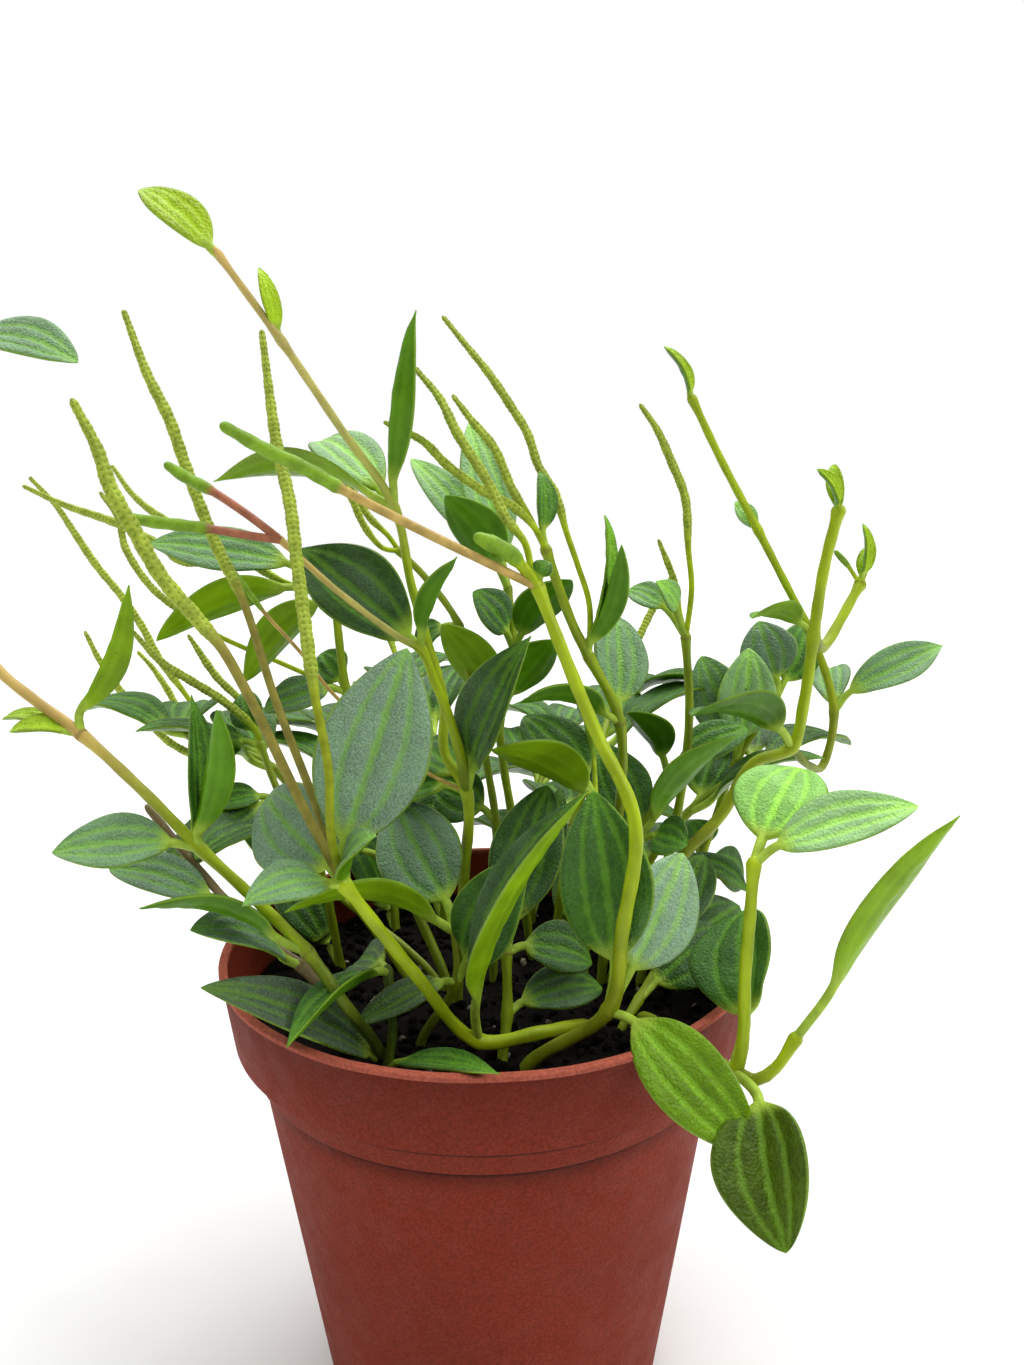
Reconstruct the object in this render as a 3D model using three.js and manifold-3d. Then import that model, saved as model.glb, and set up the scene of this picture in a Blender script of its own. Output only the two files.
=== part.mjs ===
// A beetle peperomia in a round nursery pot: leafy stems and flower spikes standing in soil.
// Millimetres, +Z up, x to the right, y to the back. The origin is the centre of the pot's base.
import * as THREE from "three";
import { mergeVertices } from "three/addons/utils/BufferGeometryUtils.js";
import Module from "manifold-3d";

const wasm = await Module();
wasm.setup();

// Driving sizes of the pot: a thin shell with two stepped bands below its lip.
const POT_H = 94;
const RIM_R = 53;
const LIP_WIDTH = 1.7;
const LIP_DEPTH = 0.9;
const LIP_STEP = 0.4;
const RIM_BAND_Z = 79.2;
const RIM_BAND_R = 50.6;
const LOWER_BAND_Z = 73.3;
const LOWER_BAND_TOP_R = 48.9;
const LOWER_BAND_R = 47.1;
const BODY_TOP_R = 46;
const BASE_R = 33.4;
const BASE_ROUNDING = 1.4;
const FLOOR = 2.2;
const WALL = 1.4;
const POT_SIDES = 28;
const DRAIN_HOLES = 6;
const DRAIN_HOLE_R = 3;
const DRAIN_CIRCLE_R = 23;
const DRAIN_SIDES = 8;

// Soil, with a slightly uneven top.
const SOIL_Z = 83;
const SOIL_WAVE = 1.1;
const SOIL_EDGE_R = 48.6;
const SOIL_MIDDLE_R = 24;
const ROOT_DEPTH = 12;
const ROOT_LEAN = 3;

// Clearance between two pieces that touch, and how far a cut piece's corners may move as it is cleaned.
const GAP = 0.35;
const TIDY = 0.08;

// Stems are four-sided, as the plant's are, and swell into a knuckle where something grows.
const STEM_SIDES = 4;
const STEM_STEP = 17;
const STEM_TAPER = 0.82;
const STEM_END = 1.5;
const KNUCKLE = 1.6;
const KNUCKLE_REACH = 2.6;

// Leaves: a stalk sunk into the knuckle, and a folded blade with rings at these shares of its length.
const STALK_R = 0.85;
const STALK_ROOT_R = 0.5;
const STALK_RISE = 0.45;
const SUNK = 0.3;
const BLADE_THICKNESS = 1.5;
const BLADE_RINGS = [0, 0.2, 0.5, 0.8];
const SMALL_BLADE = 14;
const SMALL_BLADE_RINGS = [0, 0.35, 0.75];
const TIP_R = 0.12;

// Flower spikes on bare stalks.
const SPIKE_SIDES = 4;
const SPIKE_STEP = 6.2;
const SPIKE_RELIEF = 0.12;
const SPIKE_STALK_R = 0.85;
const SPIKE_TIP = 0.35;

// Stems at the back, which follow a rule.
const BACK_STEMS = 6;
const BACK_FIRST = 24;
const BACK_SPREAD = 136;
const BACK_SEED = 6113;

const DEGREE = Math.PI / 180;
const START_ACROSS = new THREE.Vector3(0, 1, 0.3);
const vec = (p) => new THREE.Vector3(...p);
const plus = (p, q) => p.map((value, i) => value + q[i]);
// A point at a distance from the pot's axis, at a bearing in degrees from +X.
const polar = (r, bearing, z) => [r * Math.cos(bearing * DEGREE), r * Math.sin(bearing * DEGREE), z];

// The plant as it stands in front. A route is a list of points from the soil to the tip, and a knot
// is the number of a point on it.
// leaf: knot, tip, width, the way its upper side looks, how many degrees each half is folded up, the
// length of its stalk, how far the blade arches as a share of its length.
// spike: knot, route, how many spans of it are bare stalk, radius, kind.
const stems = [];
const leaf = (knot, tip, width, face, fold, stalk, arch) => ({ knot, tip, width, face, fold, stalk, arch });
const spike = (knot, route, bare, radius, kind) => ({ knot, route, bare, radius, kind });
const branch = (knot, girth, route, leaves, spikes) => ({ knot, girth, route, leaves, spikes });
function stem(name, girth, route, leaves, spikes, branches) {
  stems.push({ name, girth, route, leaves, spikes, branches });
}

stem("front_left", 2.8, [[20, -19, 83], [11, -30, 89], [-1, -33, 89], [-11, -38, 104], [-21, -44, 122]], [
  leaf(2, [17, -48, 138], 13, [-0.85, -0.15, 0.5], 40, 9, 0.06),
  leaf(4, [-11, -35, 158], 18, [0.1, -0.95, 0.3], 10, 7, 0.04),
  leaf(4, [-15, -50, 132], 8, [-0.6, -0.3, 0.7], 20, 2, 0.1),
  leaf(4, [-35, -52, 122], 11, [0, -0.3, 0.95], 12, 3, 0.1),
  leaf(4, [-36, -28, 132], 15, [-0.3, -0.8, 0.4], 12, 4, 0.1),
], [
  spike(4, [
    [-27, -44, 135], [-33, -46, 151], [-37, -47, 160], [-40, -47, 164], [-45, -48, 171],
    [-48, -48, 177], [-51, -48, 183], [-53, -47, 189], [-56, -46, 195],
  ], 3, 1.35, "ripe"),
  spike(4, [
    [-27, -38, 136], [-33, -32, 149], [-39, -26, 165], [-44, -22, 174], [-47, -20, 181],
    [-50, -18, 189], [-52, -17, 195], [-56, -15, 203], [-60, -12, 213],
  ], 3, 1.2, "ripe"),
  spike(4, [
    [-22, -48, 131], [-22, -48, 142], [-24, -45, 152], [-26, -40, 162], [-28, -34, 171],
    [-30, -28, 181], [-33, -22, 191], [-36, -15, 209],
  ], 3, 1.2, "ripe"),
], []);
stem("centre", 2.4, [
  [-6, -9, 83], [-4, -12, 110], [-3, -14, 128], [-7, -12, 135], [-7, -12, 145], [-10, -14, 158],
  [-12, -16, 167], [-14, -20, 180], [-22, -24, 193], [-30, -28, 206], [-34, -30, 212],
  [-38, -32, 218],
], [
  leaf(2, [9, -22, 158], 14, [-0.5, -0.7, 0.5], 25, 5, 0.05),
  leaf(2, [-17, -5, 123], 10, [0, -0.5, 0.85], 15, 5, 0.1),
  leaf(2, [-13, 4, 132], 12, [0, -0.7, 0.65], 15, 5, 0.1),
  leaf(7, [-9, -25, 211], 8, [0.8, 0.5, 0.2], 24, 4, -0.07),
  leaf(7, [-31, 5, 192], 11, [0.2, -0.8, 0.5], 12, 5, 0.1),
  leaf(7, [-50, 0, 185], 11, [0, 0.5, 0.85], 14, 4, 0.1),
  leaf(9, [-33, -28, 217], 3, [0.4, -0.7, 0.3], 14, 2, 0.1),
  leaf(11, [-50, -30, 228], 8, [0.5, -0.7, 0.4], 10, 2, 0.1),
], [
  spike(2, [
    [-12, -14, 133], [-27, -14, 147], [-32, -14, 154], [-39, -13, 162], [-44, -12, 169],
  ], 4, 0.6, "young"),
], [
  branch(2, 2.2, [
    [-4, -16, 136], [-6, -18, 144], [-8, -20, 150], [-10, -22, 156], [-13, -24, 158],
    [-23, -25, 166], [-32, -27, 175],
  ], [
    leaf(4, [-32, -12, 173], 16, [-0.2, -0.75, 0.6], 28, 3, 0.05),
    leaf(4, [-3, -30, 172], 6, [-0.6, 0.5, 0.5], 40, 3, 0.04),
  ], [
    spike(7, [[-38, -28, 176], [-43, -29, 177], [-50, -30, 178], [-56, -31, 179]], 2, 1.2, "young"),
    spike(7, [[-37, -27, 179], [-43, -26, 183], [-47, -25, 185], [-50, -25, 187]], 2, 1.2, "young"),
  ]),
]);
stem("centre_back_thin", 1.8, [
  [1, 0, 83], [2, 0, 110], [2, 2, 117], [0, 5, 130], [-3, 8, 145], [-5, 10, 156], [-12, 12, 166],
  [-17, 13, 171],
], [
  leaf(2, [-11, 6, 124], 12, [0, -0.8, 0.5], 12, 4, 0.06),
  leaf(5, [-14, 16, 149], 9, [-0.2, -0.6, 0.75], 18, 4, 0.1),
], [
  spike(7, [[-19, 13, 174], [-23, 14, 178], [-27, 15, 185]], 1, 0.9, "ripe"),
  spike(7, [[-20, 9, 172], [-23, 8, 176], [-26, 8, 183], [-29, 8, 189]], 1, 0.9, "ripe"),
], []);
stem("front_right", 2.8, [
  [7, -32, 83], [21, -38, 97], [23, -40, 112], [25, -39, 130], [19, -34, 144], [13, -32, 159],
  [10, -30, 167],
], [
  leaf(1, [19, -31, 133], 16, [-0.15, -0.92, 0.35], 14, 9, 0.03),
  leaf(1, [35, -26, 120], 14, [0.2, -0.9, 0.4], 14, 8, 0.05),
  leaf(1, [44, -55, 79], 13, [-0.15, -0.7, 0.7], 14, 5, 0.15),
  leaf(6, [12, -29, 171], 4, [-0.3, -0.7, 0.4], 14, 2, 0.1),
], [
  spike(6, [
    [-11, -36, 178], [-20, -38, 183], [-25, -39, 186], [-31, -40, 189], [-36, -41, 192],
  ], 2, 1.3, "young"),
  spike(6, [[7, -31, 171], [5, -32, 173], [1, -33, 175]], 1, 1.6, "young"),
  spike(6, [
    [9, -28, 170], [8, -27, 174], [5, -25, 178], [2, -23, 184], [-3, -20, 192], [-6, -17, 198],
    [-10, -14, 203],
  ], 2, 1, "ripe"),
], []);
stem("centre_right", 2.2, [
  [23, -1, 83], [26, 0, 112], [26, -6, 139], [20, -8, 152], [17, -10, 158], [14, -11, 166],
  [12, -12, 172],
], [
  leaf(3, [25, -16, 173], 7, [0.8, 0.4, 0.4], 40, 3, 0.03),
  leaf(2, [26, 8, 158], 12, [0.3, -0.9, 0.2], 14, 4, 0.08),
  leaf(2, [7, -16, 145], 9, [0, 0.5, 0.85], 22, 4, 0.1),
  leaf(3, [23, -6, 178], 5, [0.6, -0.4, 0.4], 25, 3, 0.1),
  leaf(6, [11, -8, 186], 5, [0.5, -0.6, 0.4], 20, 4, 0.1),
], [
  spike(6, [[9, -12, 178], [6, -11, 183], [3, -10, 190], [-1, -8, 195], [-4, -7, 199]], 1, 0.95, "ripe"),
  spike(6, [
    [10, -14, 176], [6, -15, 180], [2, -16, 182], [-5, -17, 187], [-9, -17, 191], [-15, -17, 194],
  ], 1, 0.95, "ripe"),
  spike(3, [
    [20, -8, 162], [18, -6, 169], [16, -5, 175], [14, -4, 182], [11, -3, 187], [9, -2, 193],
    [6, -1, 198], [2, 0, 204], [-2, 1, 209], [-6, 2, 214],
  ], 3, 0.95, "ripe"),
], []);
stem("right_spike", 2.2, [[31, -1, 83], [40, 8, 119], [42, 10, 136], [41, 10, 153]], [
  leaf(3, [30, 18, 162], 7, [0.1, -0.8, 0.6], 14, 8, 0.1),
  leaf(3, [34, 4, 165], 6, [0.2, -0.8, 0.5], 12, 7, 0.1),
], [
  spike(3, [
    [42, 10, 163], [41, 9, 171], [40, 8, 181], [37, 7, 188], [34, 6, 194], [31, 5, 198],
  ], 2, 1, "ripe"),
  spike(3, [[40, 12, 158], [39, 13, 164], [36, 14, 172]], 1, 0.9, "ripe"),
], []);
stem("right_thick", 2.9, [
  [25, -1, 83], [37, 0, 107], [48, 5, 117], [55, 8, 127], [63, 9, 130], [65, 8, 140], [66, 7, 153],
  [67, 5, 167], [69, 4, 178],
], [
  leaf(4, [40, -5, 140], 16, [0.1, 0.5, 0.85], 14, 7, 0.1),
  leaf(8, [64, 2, 186], 4, [0.3, -0.6, 0.5], 35, 1, 0.1),
  leaf(8, [69, 8, 187], 4, [-0.3, -0.6, 0.5], 35, 1, 0.1),
], [], [
  branch(6, 2.8, [[71, 16, 150], [81, 25, 162]], [
    leaf(2, [81, 25, 175], 4, [0.5, -0.7, 0.3], 35, 2, 0.1),
    leaf(2, [85, 30, 170], 4, [-0.5, -0.6, 0.4], 35, 2, 0.1),
  ], [
    spike(2, [[78, 24, 166], [75, 23, 169]], 1, 0.8, "young"),
  ]),
  branch(4, 2, [
    [68, 14, 125], [73, 20, 123], [75, 20, 135], [69, 20, 153], [66, 19, 158], [57, 18, 174],
    [48, 15, 189], [42, 13, 200],
  ], [
    leaf(3, [101, 28, 148], 10, [0.1, -0.75, 0.7], 24, 6, 0.08),
    leaf(3, [82, 45, 140], 9, [-0.3, -0.6, 0.6], 14, 3, 0.1),
    leaf(4, [54, 8, 157], 9, [0, 0.5, 0.85], 14, 4, 0.1),
    leaf(6, [53, 22, 180], 4, [-0.3, -0.8, 0.4], 14, 1, 0.1),
    leaf(8, [36, 12, 210], 4, [0.6, -0.5, 0.4], 30, 1, 0.1),
  ], []),
]);
stem("right_trail", 2.6, [
  [29, -16, 83], [32, -32, 90], [36, -39, 91], [41, -43, 89], [43, -41, 107], [44, -40, 123],
], [
  leaf(3, [48, -20, 107], 18, [-0.65, -0.6, 0.45], 26, 9, 0.06),
  leaf(3, [44, -66, 74], 17, [-0.4, -0.85, 0.3], 30, 8, 0.05),
  leaf(5, [56, -22, 134], 16, [-0.45, -0.8, 0.4], 14, 5, 0.06),
  leaf(5, [69, -42, 133], 10, [0, -0.65, 0.8], 16, 5, 0.06),
], [], [
  branch(3, 2.4, [[44, -46, 89], [47, -46, 91], [50, -46, 96]], [
    leaf(3, [72, -50, 134], 9, [-0.35, 0.8, 0.5], 12, 11, 0.04),
  ], []),
]);
stem("left_long", 2.3, [
  [-18, -29, 83], [-23, -38, 99], [-29, -36, 107], [-39, -34, 117], [-47, -32, 124],
  [-57, -30, 134], [-67, -28, 143], [-75, -27, 149], [-81, -26, 154], [-88, -23, 163],
  [-94, -18, 175], [-95, -13, 191], [-94, -8, 208],
], [
  leaf(0, [-44, -46, 106], 12, [0.1, -0.4, 0.9], 14, 4, 0.07),
  leaf(2, [-53, -45, 119], 10, [0, 0.5, 0.85], 16, 6, 0.1),
  leaf(4, [-49, -25, 149], 8, [0.7, -0.5, 0.5], 34, 2, 0.03),
  leaf(4, [-41, -38, 149], 8, [0.5, 0.75, 0.3], 38, 3, 0.03),
  leaf(4, [-70, -36, 125], 11, [0, -0.65, 0.8], 16, 5, 0.06),
  leaf(6, [-57, -28, 168], 8, [0.7, 0.5, 0.3], 34, 4, 0.03),
  leaf(6, [-78, -30, 144], 5, [0, -0.4, 0.85], 20, 3, 0.1),
  leaf(6, [-84, -20, 144], 4, [0, -0.4, 0.85], 20, 3, 0.1),
  leaf(12, [-68, -14, 205], 12, [0, -0.6, 0.8], 12, 6, 0.08),
  leaf(12, [-107, -4, 212], 11, [-0.2, -0.6, 0.8], 12, 5, 0.08),
], [
  spike(9, [[-89, -26, 168], [-93, -26, 175], [-96, -25, 182], [-98, -23, 190]], 1, 1.2, "ripe"),
], []);
stem("left_woody", 2.2, [
  [-23, -21, 83], [-30, -25, 96], [-33, -24, 99], [-41, -20, 103], [-47, -16, 107],
  [-54, -12, 113], [-63, -10, 124],
], [
  leaf(2, [-47, -40, 113], 12, [0, -0.5, 0.85], 14, 4, 0.1),
  leaf(4, [-70, -14, 114], 9, [0, -0.6, 0.8], 18, 5, 0.1),
], [], []);
stem("front_low", 2, [[-17, -32, 83], [-16, -31, 90], [-17, -27, 99]], [
  leaf(0, [3, -55, 96], 7, [0.1, -0.3, 0.95], 18, 4, 0.02),
  leaf(2, [-30, -50, 98], 9, [-0.55, -0.65, 0.5], 34, 3, 0.05),
  leaf(2, [-24, -16, 95], 9, [0, -0.6, 0.8], 14, 3, 0.1),
], [], []);
stem("front_mid", 2, [[-12, -23, 83], [-5, -25, 96], [-5, -24, 105]], [
  leaf(1, [-22, -33, 92], 7, [0.1, -0.5, 0.85], 30, 3, 0.05),
  leaf(1, [8, -30, 121], 14, [-0.35, -0.8, 0.5], 18, 5, 0.05),
  leaf(2, [-32, -38, 115], 13, [0, 0.55, 0.8], 14, 5, 0.12),
  leaf(2, [-17, -7, 124], 16, [-0.1, -0.85, 0.5], 10, 6, 0.05),
], [], []);
stem("front_centre", 2.2, [[3, -30, 83], [4, -26, 90], [4, -22, 100]], [
  leaf(2, [12, -10, 128], 14, [-0.2, -0.85, 0.4], 12, 7, 0.05),
  leaf(2, [20, -16, 95], 11, [0, -0.6, 0.8], 14, 4, 0.1),
  leaf(2, [15, -4, 126], 8, [0.2, -0.8, 0.4], 14, 6, 0.1),
  leaf(1, [22, -14, 89], 10, [0, -0.55, 0.85], 14, 4, 0.1),
], [], []);
stem("right_low", 2, [[25, -20, 83], [29, -15, 87], [35, -8, 93]], [
  leaf(1, [47, -4, 96], 14, [-0.1, -0.75, 0.65], 10, 5, 0.05),
  leaf(2, [53, 8, 96], 13, [0, -0.75, 0.65], 10, 4, 0.05),
  leaf(2, [46, 12, 106], 11, [-0.2, -0.7, 0.65], 14, 5, 0.1),
], [], []);
stem("centre_back_a", 2, [[9, 11, 83], [6, 5, 112], [3, 8, 137], [6, 10, 151], [5, 14, 163]], [
  leaf(2, [-8, 4, 157], 11, [0.1, 0.75, 0.6], 12, 5, 0.06),
  leaf(2, [14, 2, 154], 11, [-0.2, 0.8, 0.5], 12, 6, 0.04),
  leaf(3, [17, -2, 166], 11, [-0.2, 0.7, 0.6], 12, 4, 0.05),
  leaf(3, [-2, 8, 163], 11, [0.1, -0.6, 0.8], 14, 4, 0.05),
  leaf(4, [-7, 8, 182], 12, [0.3, 0.8, 0.4], 12, 5, 0.05),
  leaf(4, [-3, 28, 197], 11, [0.2, -0.8, 0.5], 12, 7, 0.06),
  leaf(4, [-16, 34, 190], 9, [0.1, -0.8, 0.5], 12, 10, 0.06),
], [], []);
stem("centre_right_b", 2, [[19, -5, 83], [20, -12, 110], [21, -12, 125]], [
  leaf(2, [2, -22, 138], 14, [0.05, 0.6, 0.8], 12, 4, 0.08),
  leaf(2, [8, 6, 138], 12, [0, -0.7, 0.7], 12, 5, 0.05),
  leaf(1, [12, 2, 114], 10, [0, -0.7, 0.7], 12, 5, 0.05),
], [
  spike(2, [[21, -6, 132], [20, -2, 139], [19, 2, 144]], 1, 0.9, "young"),
], []);
stem("right_mid", 2, [[28, 3, 83], [31, 8, 98], [31, 4, 112], [38, 12, 124]], [
  leaf(2, [49, -2, 135], 12, [-0.3, 0.6, 0.75], 16, 6, 0.06),
  leaf(2, [40, -2, 113], 10, [0, -0.75, 0.65], 14, 4, 0.08),
  leaf(2, [24, 14, 130], 13, [0, -0.9, 0.4], 12, 3, 0.06),
  leaf(3, [29, 8, 138], 11, [0.5, 0.6, 0.6], 22, 4, 0.08),
  leaf(3, [56, 18, 132], 10, [0, -0.6, 0.8], 14, 5, 0.06),
], [], []);
stem("right_back", 2, [[35, 3, 83], [47, 22, 100], [56, 28, 122], [65, 30, 136]], [
  leaf(2, [58, 28, 148], 14, [0.1, -0.9, 0.3], 10, 6, 0.06),
  leaf(2, [48, 30, 146], 13, [-0.2, -0.9, 0.3], 10, 6, 0.06),
  leaf(3, [62, 36, 153], 13, [-0.2, -0.9, 0.3], 10, 5, 0.06),
  leaf(3, [74, 40, 152], 11, [0.2, -0.9, 0.3], 10, 5, 0.06),
  leaf(1, [46, 30, 108], 11, [0, -0.8, 0.5], 12, 4, 0.06),
  leaf(1, [59, 30, 93], 11, [0, -0.7, 0.6], 12, 4, 0.06),
], [], []);
stem("left_back_a", 2, [[-13, -8, 83], [-29, 2, 103], [-42, 8, 120], [-47, 12, 131]], [
  leaf(2, [-56, 4, 120], 9, [0, -0.4, 0.9], 16, 5, 0.05),
  leaf(2, [-63, -8, 110], 11, [-0.1, -0.7, 0.65], 12, 5, 0.05),
  leaf(3, [-58, 12, 130], 9, [-0.1, -0.7, 0.65], 10, 4, 0.1),
  leaf(3, [-52, 20, 141], 8, [-0.3, -0.7, 0.5], 14, 4, 0.05),
], [
  spike(3, [[-48, 13, 134], [-55, 15, 140], [-62, 17, 144], [-69, 19, 148], [-75, 21, 154]], 1, 1.1, "ripe"),
  spike(3, [[-52, 20, 138], [-59, 24, 144], [-65, 27, 152]], 1, 1, "ripe"),
], []);
stem("left_back_b", 1.8, [[-10, 0, 83], [-35, 16, 98], [-55, 26, 110]], [
  leaf(2, [-64, 34, 104], 8, [0, -0.6, 0.8], 14, 3, 0.05),
  leaf(1, [-56, 20, 116], 11, [0, -0.8, 0.6], 12, 4, 0.05),
], [
  spike(2, [
    [-65, 34, 131], [-70, 36, 138], [-76, 38, 146], [-80, 40, 153], [-85, 42, 160], [-91, 44, 167],
    [-96, 46, 174], [-101, 48, 181], [-107, 50, 187],
  ], 2, 1.05, "ripe"),
  spike(2, [
    [-58, 28, 116], [-65, 30, 123], [-73, 31, 128], [-77, 32, 132], [-82, 33, 137], [-88, 34, 146],
    [-91, 35, 152],
  ], 2, 1.05, "ripe"),
  spike(2, [[-66, 40, 121], [-73, 42, 131], [-76, 43, 137], [-80, 44, 143], [-83, 45, 146]], 1, 0.95, "ripe"),
], []);
stem("left_mid", 2.2, [[-8, -2, 83], [-20, 6, 110], [-25, 8, 132], [-28, 8, 143], [-30, 10, 162]], [
  leaf(3, [-44, 4, 140], 10, [-0.1, -0.6, 0.75], 14, 4, 0.05),
  leaf(3, [-34, 14, 150], 9, [-0.3, -0.6, 0.6], 14, 3, 0.05),
  leaf(1, [-6, 14, 120], 12, [0, -0.8, 0.6], 12, 5, 0.05),
  leaf(4, [-46, -2, 147], 12, [-0.1, 0.65, 0.7], 14, 4, 0.05),
  leaf(4, [-63, 0, 155], 12, [0, 0.6, 0.75], 12, 10, 0.08),
  leaf(4, [-68, 14, 173], 11, [0.1, -0.75, 0.6], 12, 12, 0.06),
], [
  spike(4, [
    [-41, 14, 165], [-50, 18, 169], [-64, 22, 169], [-69, 25, 172], [-80, 29, 177], [-93, 34, 181],
    [-103, 38, 185],
  ], 1, 1.1, "ripe"),
  spike(4, [[-42, 20, 169], [-56, 26, 172], [-71, 32, 178], [-78, 35, 183], [-83, 38, 189]], 1, 1, "ripe"),
  spike(3, [
    [-42, 14, 148], [-56, 16, 154], [-64, 18, 159], [-70, 19, 164], [-75, 20, 172], [-76, 20, 178],
    [-79, 20, 183],
  ], 2, 0.9, "ripe"),
], []);

// The stems at the back. Every random draw comes from one seeded series.
let series = BACK_SEED;
function draw(low, high) {
  series = (series * 1664525 + 1013904223) % 4294967296;
  return low + ((high - low) * series) / 4294967296;
}

for (let i = 0; i < BACK_STEMS; i++) {
  const bearing = BACK_FIRST + (BACK_SPREAD * i) / (BACK_STEMS - 1) + draw(-5, 5);
  const footR = draw(20, 38);
  const lift = (i % 2) * 13 + draw(-2, 4);
  const route = [
    polar(footR, bearing, SOIL_Z),
    polar(footR + 5, bearing + draw(-4, 4), 98 + lift),
    polar(footR + 15, bearing + draw(-6, 6), 112 + lift),
    polar(footR + 29, bearing + draw(-8, 8), 121 + lift),
  ];
  const leaves = [];
  for (const [knot, side] of [[1, -1], [1, 1], [2, -1], [2, 1], [3, i % 2 ? -1 : 1]]) {
    const aim = bearing + side * (knot === 2 ? draw(26, 42) : draw(52, 70));
    const length = draw(23, 30);
    const rise = knot === 2 ? draw(8, 14) : draw(0, 5);
    const tip = plus(route[knot], polar(length, aim, rise));
    leaves.push(leaf(knot, tip, length * 0.55, polar(0.5, aim, 0.85), draw(8, 22), 6, 0.12));
  }
  const low = plus(route[0], polar(draw(20, 25), bearing + draw(-30, 30), draw(14, 18)));
  leaves.push(leaf(0, low, 12, polar(0.5, bearing, 0.85), 14, 6, 0.16));
  const end = plus(route[3], polar(draw(24, 32), bearing, draw(-2, 8)));
  leaves.push(leaf(3, end, 14, polar(0.5, bearing, 0.85), 14, 6, 0.14));
  const spikes = [];
  if (i % 2 === 1 && i < BACK_STEMS - 1) {
    const lean = draw(-5, 5);
    const place = (k) => plus(route[3], polar(k * 6, bearing + k * lean, k * 9 - k * k * 0.5));
    spikes.push(spike(3, [1, 2, 3, 4].map(place), 1, 1.1, "ripe"));
  }
  stem("back_" + (i + 1), 2.1, route, leaves, spikes, []);
}

// A closed geometry as a solid. Shared corners are merged and empty triangles dropped.
function solidOf(geometry) {
  const bare = new THREE.BufferGeometry();
  bare.setAttribute("position", geometry.getAttribute("position"));
  bare.setIndex(geometry.index);
  const merged = mergeVertices(bare, 1e-4);
  const index = merged.index.array;
  const kept = [];
  for (let i = 0; i < index.length; i += 3) {
    const [a, b, c] = [index[i], index[i + 1], index[i + 2]];
    if (a !== b && b !== c && c !== a) kept.push(a, b, c);
  }
  const mesh = new wasm.Mesh({
    numProp: 3,
    vertProperties: Float32Array.from(merged.attributes.position.array),
    triVerts: Uint32Array.from(kept),
  });
  return new wasm.Manifold(mesh);
}

// A skin over rings of points, each with the same number, closed by a flat fan at both ends.
// Quads beside an even point are split one way and the others the other way, so that a thin
// blade's two faces match.
function skin(rings) {
  const sides = rings[0].length;
  const points = rings.flat();
  const faces = [];
  for (let ring = 0; ring + 1 < rings.length; ring++) {
    for (let k = 0; k < sides; k++) {
      const a = ring * sides + k;
      const b = ring * sides + ((k + 1) % sides);
      const c = a + sides;
      const d = b + sides;
      if (k % 2 === 0) faces.push(a, b, d, a, d, c);
      else faces.push(a, b, c, b, d, c);
    }
  }
  const last = points.length - sides;
  for (let k = 2; k < sides; k++) {
    const next = (k + 1) % sides;
    faces.push(1, next, k);
    faces.push(last + 1, last + k, last + next);
  }
  const geometry = new THREE.BufferGeometry();
  const numbers = points.flatMap((p) => p.toArray());
  geometry.setAttribute("position", new THREE.Float32BufferAttribute(numbers, 3));
  geometry.setIndex(faces);
  return solidOf(geometry);
}

// Points and directions along a smooth route, with a step of about the given length and a pair of
// stations close to each knot.
function alongRoute(route, step, knots) {
  const points = route.map(vec);
  const curve = new THREE.CatmullRomCurve3(points, false, "centripetal");
  const spans = points.length - 1;
  const places = [];
  for (let span = 0; span < spans; span++) {
    const length = points[span].distanceTo(points[span + 1]);
    const reach = KNUCKLE_REACH / length;
    const from = knots.includes(span) ? reach : 0;
    const to = knots.includes(span + 1) ? 1 - reach : 1;
    places.push(span);
    if (from > 0 && from < 0.5) places.push(span + from);
    const count = Math.max(1, Math.round(((to - from) * length) / step));
    for (let k = 1; k < count; k++) places.push(span + from + ((to - from) * k) / count);
    if (to < 1 && to > 0.5) places.push(span + to);
  }
  places.push(spans);
  return places.map((at) => ({
    at,
    point: curve.getPoint(at / spans),
    tangent: curve.getTangent(at / spans),
  }));
}

// Rings round a route, carried along it without twisting. radius and turn depend on the station.
function ringsAlong(stations, sides, radius, turn) {
  let across = START_ACROSS;
  return stations.map((station, i) => {
    const { point, tangent } = station;
    across = across.clone().addScaledVector(tangent, -across.dot(tangent)).normalize();
    const other = new THREE.Vector3().crossVectors(tangent, across);
    const r = radius(station, i);
    return Array.from({ length: sides }, (_, k) => {
      const angle = (2 * Math.PI * (k + turn(i))) / sides;
      const corner = point.clone().addScaledVector(across, r * Math.cos(angle));
      return corner.addScaledVector(other, r * Math.sin(angle));
    });
  });
}

// The way that a route runs at one of its points.
function directionAt(route, knot) {
  const before = vec(route[Math.max(0, knot - 1)]);
  const after = vec(route[Math.min(route.length - 1, knot + 1)]);
  return after.sub(before).normalize();
}

// A stem's tube. grow makes it fatter all round.
function tube(route, girth, knots, grow) {
  const last = route.length - 1;
  const stations = alongRoute(route, STEM_STEP, knots);
  const end = stations[stations.length - 1];
  end.point.addScaledVector(end.tangent, STEM_END);
  const radius = ({ at }) => {
    const swelling = knots.includes(at) ? KNUCKLE : 1;
    return (girth / 2) * (1 - (1 - STEM_TAPER) * (at / last)) * swelling + grow;
  };
  return skin(ringsAlong(stations, STEM_SIDES, radius, () => 0));
}

// Half the blade's width at a share of its length, with 1 at the widest place.
const outline = (u) => Math.sin(Math.PI * u ** 0.85) ** (0.74 - 0.12 * u);

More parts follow.
